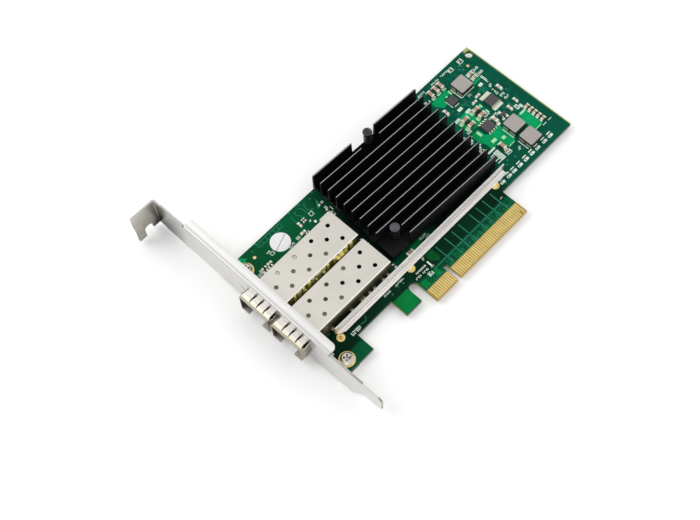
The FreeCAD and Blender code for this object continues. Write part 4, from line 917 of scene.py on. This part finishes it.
def make_vent_glints():
    """Painted light and shade of the cages' insides, in pale, olive and dim tones, seen through the vents
    nearest the bracket.
    """
    first_vent = plate_front / MM + 12.35
    pitch, stagger, row = 9.1, -4.55, 3.95
    radius, depth = 1.05, 0.5              # a little wider than the vents, just under the roofs
    shown = (
        # cage, row, the tones seen in its vents from the bracket on
        (1, 1, ("pale", "pale")), (1, 0, ("olive", "olive", "dim")), (1, -1, ("olive", "olive", "olive")),
        (2, 1, ("dim", "dim", "olive")), (2, 0, ("olive", "dim")), (2, -1, ("olive", "olive")),
    )
    roof = box_mm("cage_shell_1")[1].z
    for tone, material in (("pale", VENT_PALE), ("olive", VENT_OLIVE), ("dim", VENT_DIM)):
        discs = Shapes(roof - depth, roof - depth + 0.05)
        for cage, line, vent_tones in shown:
            low, high = box_mm("cage_shell_%d" % cage)
            y = (low.y + high.y) / 2 + line * row
            for i, vent_tone in enumerate(vent_tones):
                if vent_tone == tone:
                    discs.disc(first_vent + pitch * i + (0 if line else stagger), y, radius, 16)
        discs.make("vent_glints_" + tone, "cage_steel", material)


def make_collar_slits():
    """Painted shade: a dark sheet seen between the fingers of the collars."""
    slit_shade = Shapes()
    for number in (1, 2):
        low, high = box_mm("cage_shell_%d" % number)
        wide = box_mm("cage_base_%d" % number)[1].y + 0.3 - low.y
        x0, x1 = low.x + 1.35, plate_front / MM - 0.05
        middle, run = (x0 + x1) / 2, x1 - x0
        slit_shade.rect(middle, low.y + wide / 2, run, wide, layer=(high.z + 0.005, high.z + 0.025))
        slit_shade.rect(middle, low.y - 0.015, run, 0.02, layer=(0.3, high.z))
    slit_shade.make("collar_slit_shade", "spring_steel", SHADE_BROWN)


def make_cage_solder():
    """Solder collars where the cages' pins pass the board, seen along the walls."""
    lumps = Shapes()
    for x in (-48.5, -38.0, -32.6, -31.2, -28.2, -25.6, -20.7, -18.0):
        lumps.rect(x, 20.7, 1.2, 0.4, 0.1, (0, 1.7))
    for x in (-52.84, -42.44, -32.04, -21.64):
        lumps.rect(x, 37.6, 1.4, 0.5, 0.12, (0, 0.3))
    lumps.make("cage_pin_solder", "tinned_copper", MATERIALS["tinned_copper"])


def make_sticker_cut():
    """Fine diagonal slit that makes the sticker tear when it is lifted."""
    top = box_mm("round_sticker")[1].z
    slit = Shapes(top, top + 0.012)
    slit.stroke([(-39.5, 60.3), (-31.9, 63.1)], 0.2)
    slit.make("sticker_slit", "package_resin", RESISTOR_BLACK)


make_fields()
make_traces()
make_silkscreen()
make_pads()
make_small_chips()
make_gold_spots()
make_gap_tabs()
make_collar_slits()
make_cage_solder()
make_sticker_cut()
make_screw_shade()
make_vent_glints()


# ---------------------------------------------------------------- floor, lights, camera
def make_floor():
    """White floor; to the camera and in gloss it reads a little whiter than the lamps make it."""
    size = 40.0
    lift_near, lift_far = 0.14, 0.5            # more where the lamps do not reach
    fade_start, fade_end = 0.35, 1.1           # metres from the part's origin
    z = cad_bounds[0].z
    mesh = bpy.data.meshes.new("floor")
    corners = [(-size, -size, z), (size, -size, z), (size, size, z), (-size, size, z)]
    mesh.from_pydata(corners, [], [(0, 1, 2, 3)])
    floor = bpy.data.objects.new("floor", mesh)
    bpy.context.scene.collection.objects.link(floor)
    mat, shader = new_material("floor_white", (0.93, 0.93, 0.93), 0.0, 0.9, 0.0)
    mesh.materials.append(mat)
    rays = add_node(mat, "ShaderNodeLightPath").outputs
    shown = maths(mat, "MAXIMUM", rays["Is Camera Ray"], rays["Is Glossy Ray"])
    shown = maths(mat, "MAXIMUM", shown, rays["Is Transmission Ray"])
    distance = add_node(mat, "ShaderNodeVectorMath", operation="LENGTH")
    link(mat, add_node(mat, "ShaderNodeTexCoord").outputs["Object"], distance.inputs[0])
    rising = map_range(mat, distance.outputs["Value"], fade_start, fade_end, lift_near, lift_far)
    lift = add_node(mat, "ShaderNodeEmission")
    lift.inputs["Color"].default_value = (1, 1, 1, 1)
    link(mat, multiply(mat, shown, rising), lift.inputs["Strength"])
    total = add_node(mat, "ShaderNodeAddShader")
    link(mat, shader.outputs[0], total.inputs[0])
    link(mat, lift.outputs[0], total.inputs[1])
    link(mat, total.outputs[0], mat.node_tree.nodes["Material Output"].inputs["Surface"])


def area_light(name, position, target, size, power):
    data = bpy.data.lights.new(name, "AREA")
    data.shape = "RECTANGLE"
    data.size, data.size_y = size
    data.energy = power
    lamp = bpy.data.objects.new(name, data)
    bpy.context.scene.collection.objects.link(lamp)
    lamp.location = position
    direction = Vector(target) - Vector(position)
    lamp.rotation_euler = direction.to_track_quat("-Z", "Y").to_euler()


def make_lights():
    world = bpy.data.worlds.new("studio")
    bpy.context.scene.world = world
    world.use_nodes = True
    background = world.node_tree.nodes["Background"]
    background.inputs["Color"].default_value = (1, 1, 1, 1)
    background.inputs["Strength"].default_value = 0.68
    target = (0.0, 0.035, 0.0)
    area_light("key", (-0.35, 0.55, 0.75), target, (0.7, 0.7), 3.3)
    area_light("fill", (0.5, -0.35, 0.7), target, (0.8, 0.8), 1.8)


def make_camera():
    """A long lens beyond the bracket, on the side of the edge contacts, looking steeply down at the card."""
    position = Vector((-0.164954, -0.124373, 0.439181))
    forward = Vector((0.29069, 0.32904, -0.89846)).normalized()
    right = Vector((0.68988, -0.72273, -0.04148)).normalized()
    up = right.cross(forward)
    data = bpy.data.cameras.new("camera")
    data.sensor_width = 36.0
    data.lens = 64.985
    data.clip_start = 0.01
    camera = bpy.data.objects.new("camera", data)
    bpy.context.scene.collection.objects.link(camera)
    rotation = Matrix((right, up, -forward)).transposed()
    camera.matrix_world = Matrix.Translation(position) @ rotation.to_4x4()
    bpy.context.scene.camera = camera


make_floor()
make_lights()
make_camera()
bpy.context.scene.view_settings.view_transform = "Standard"
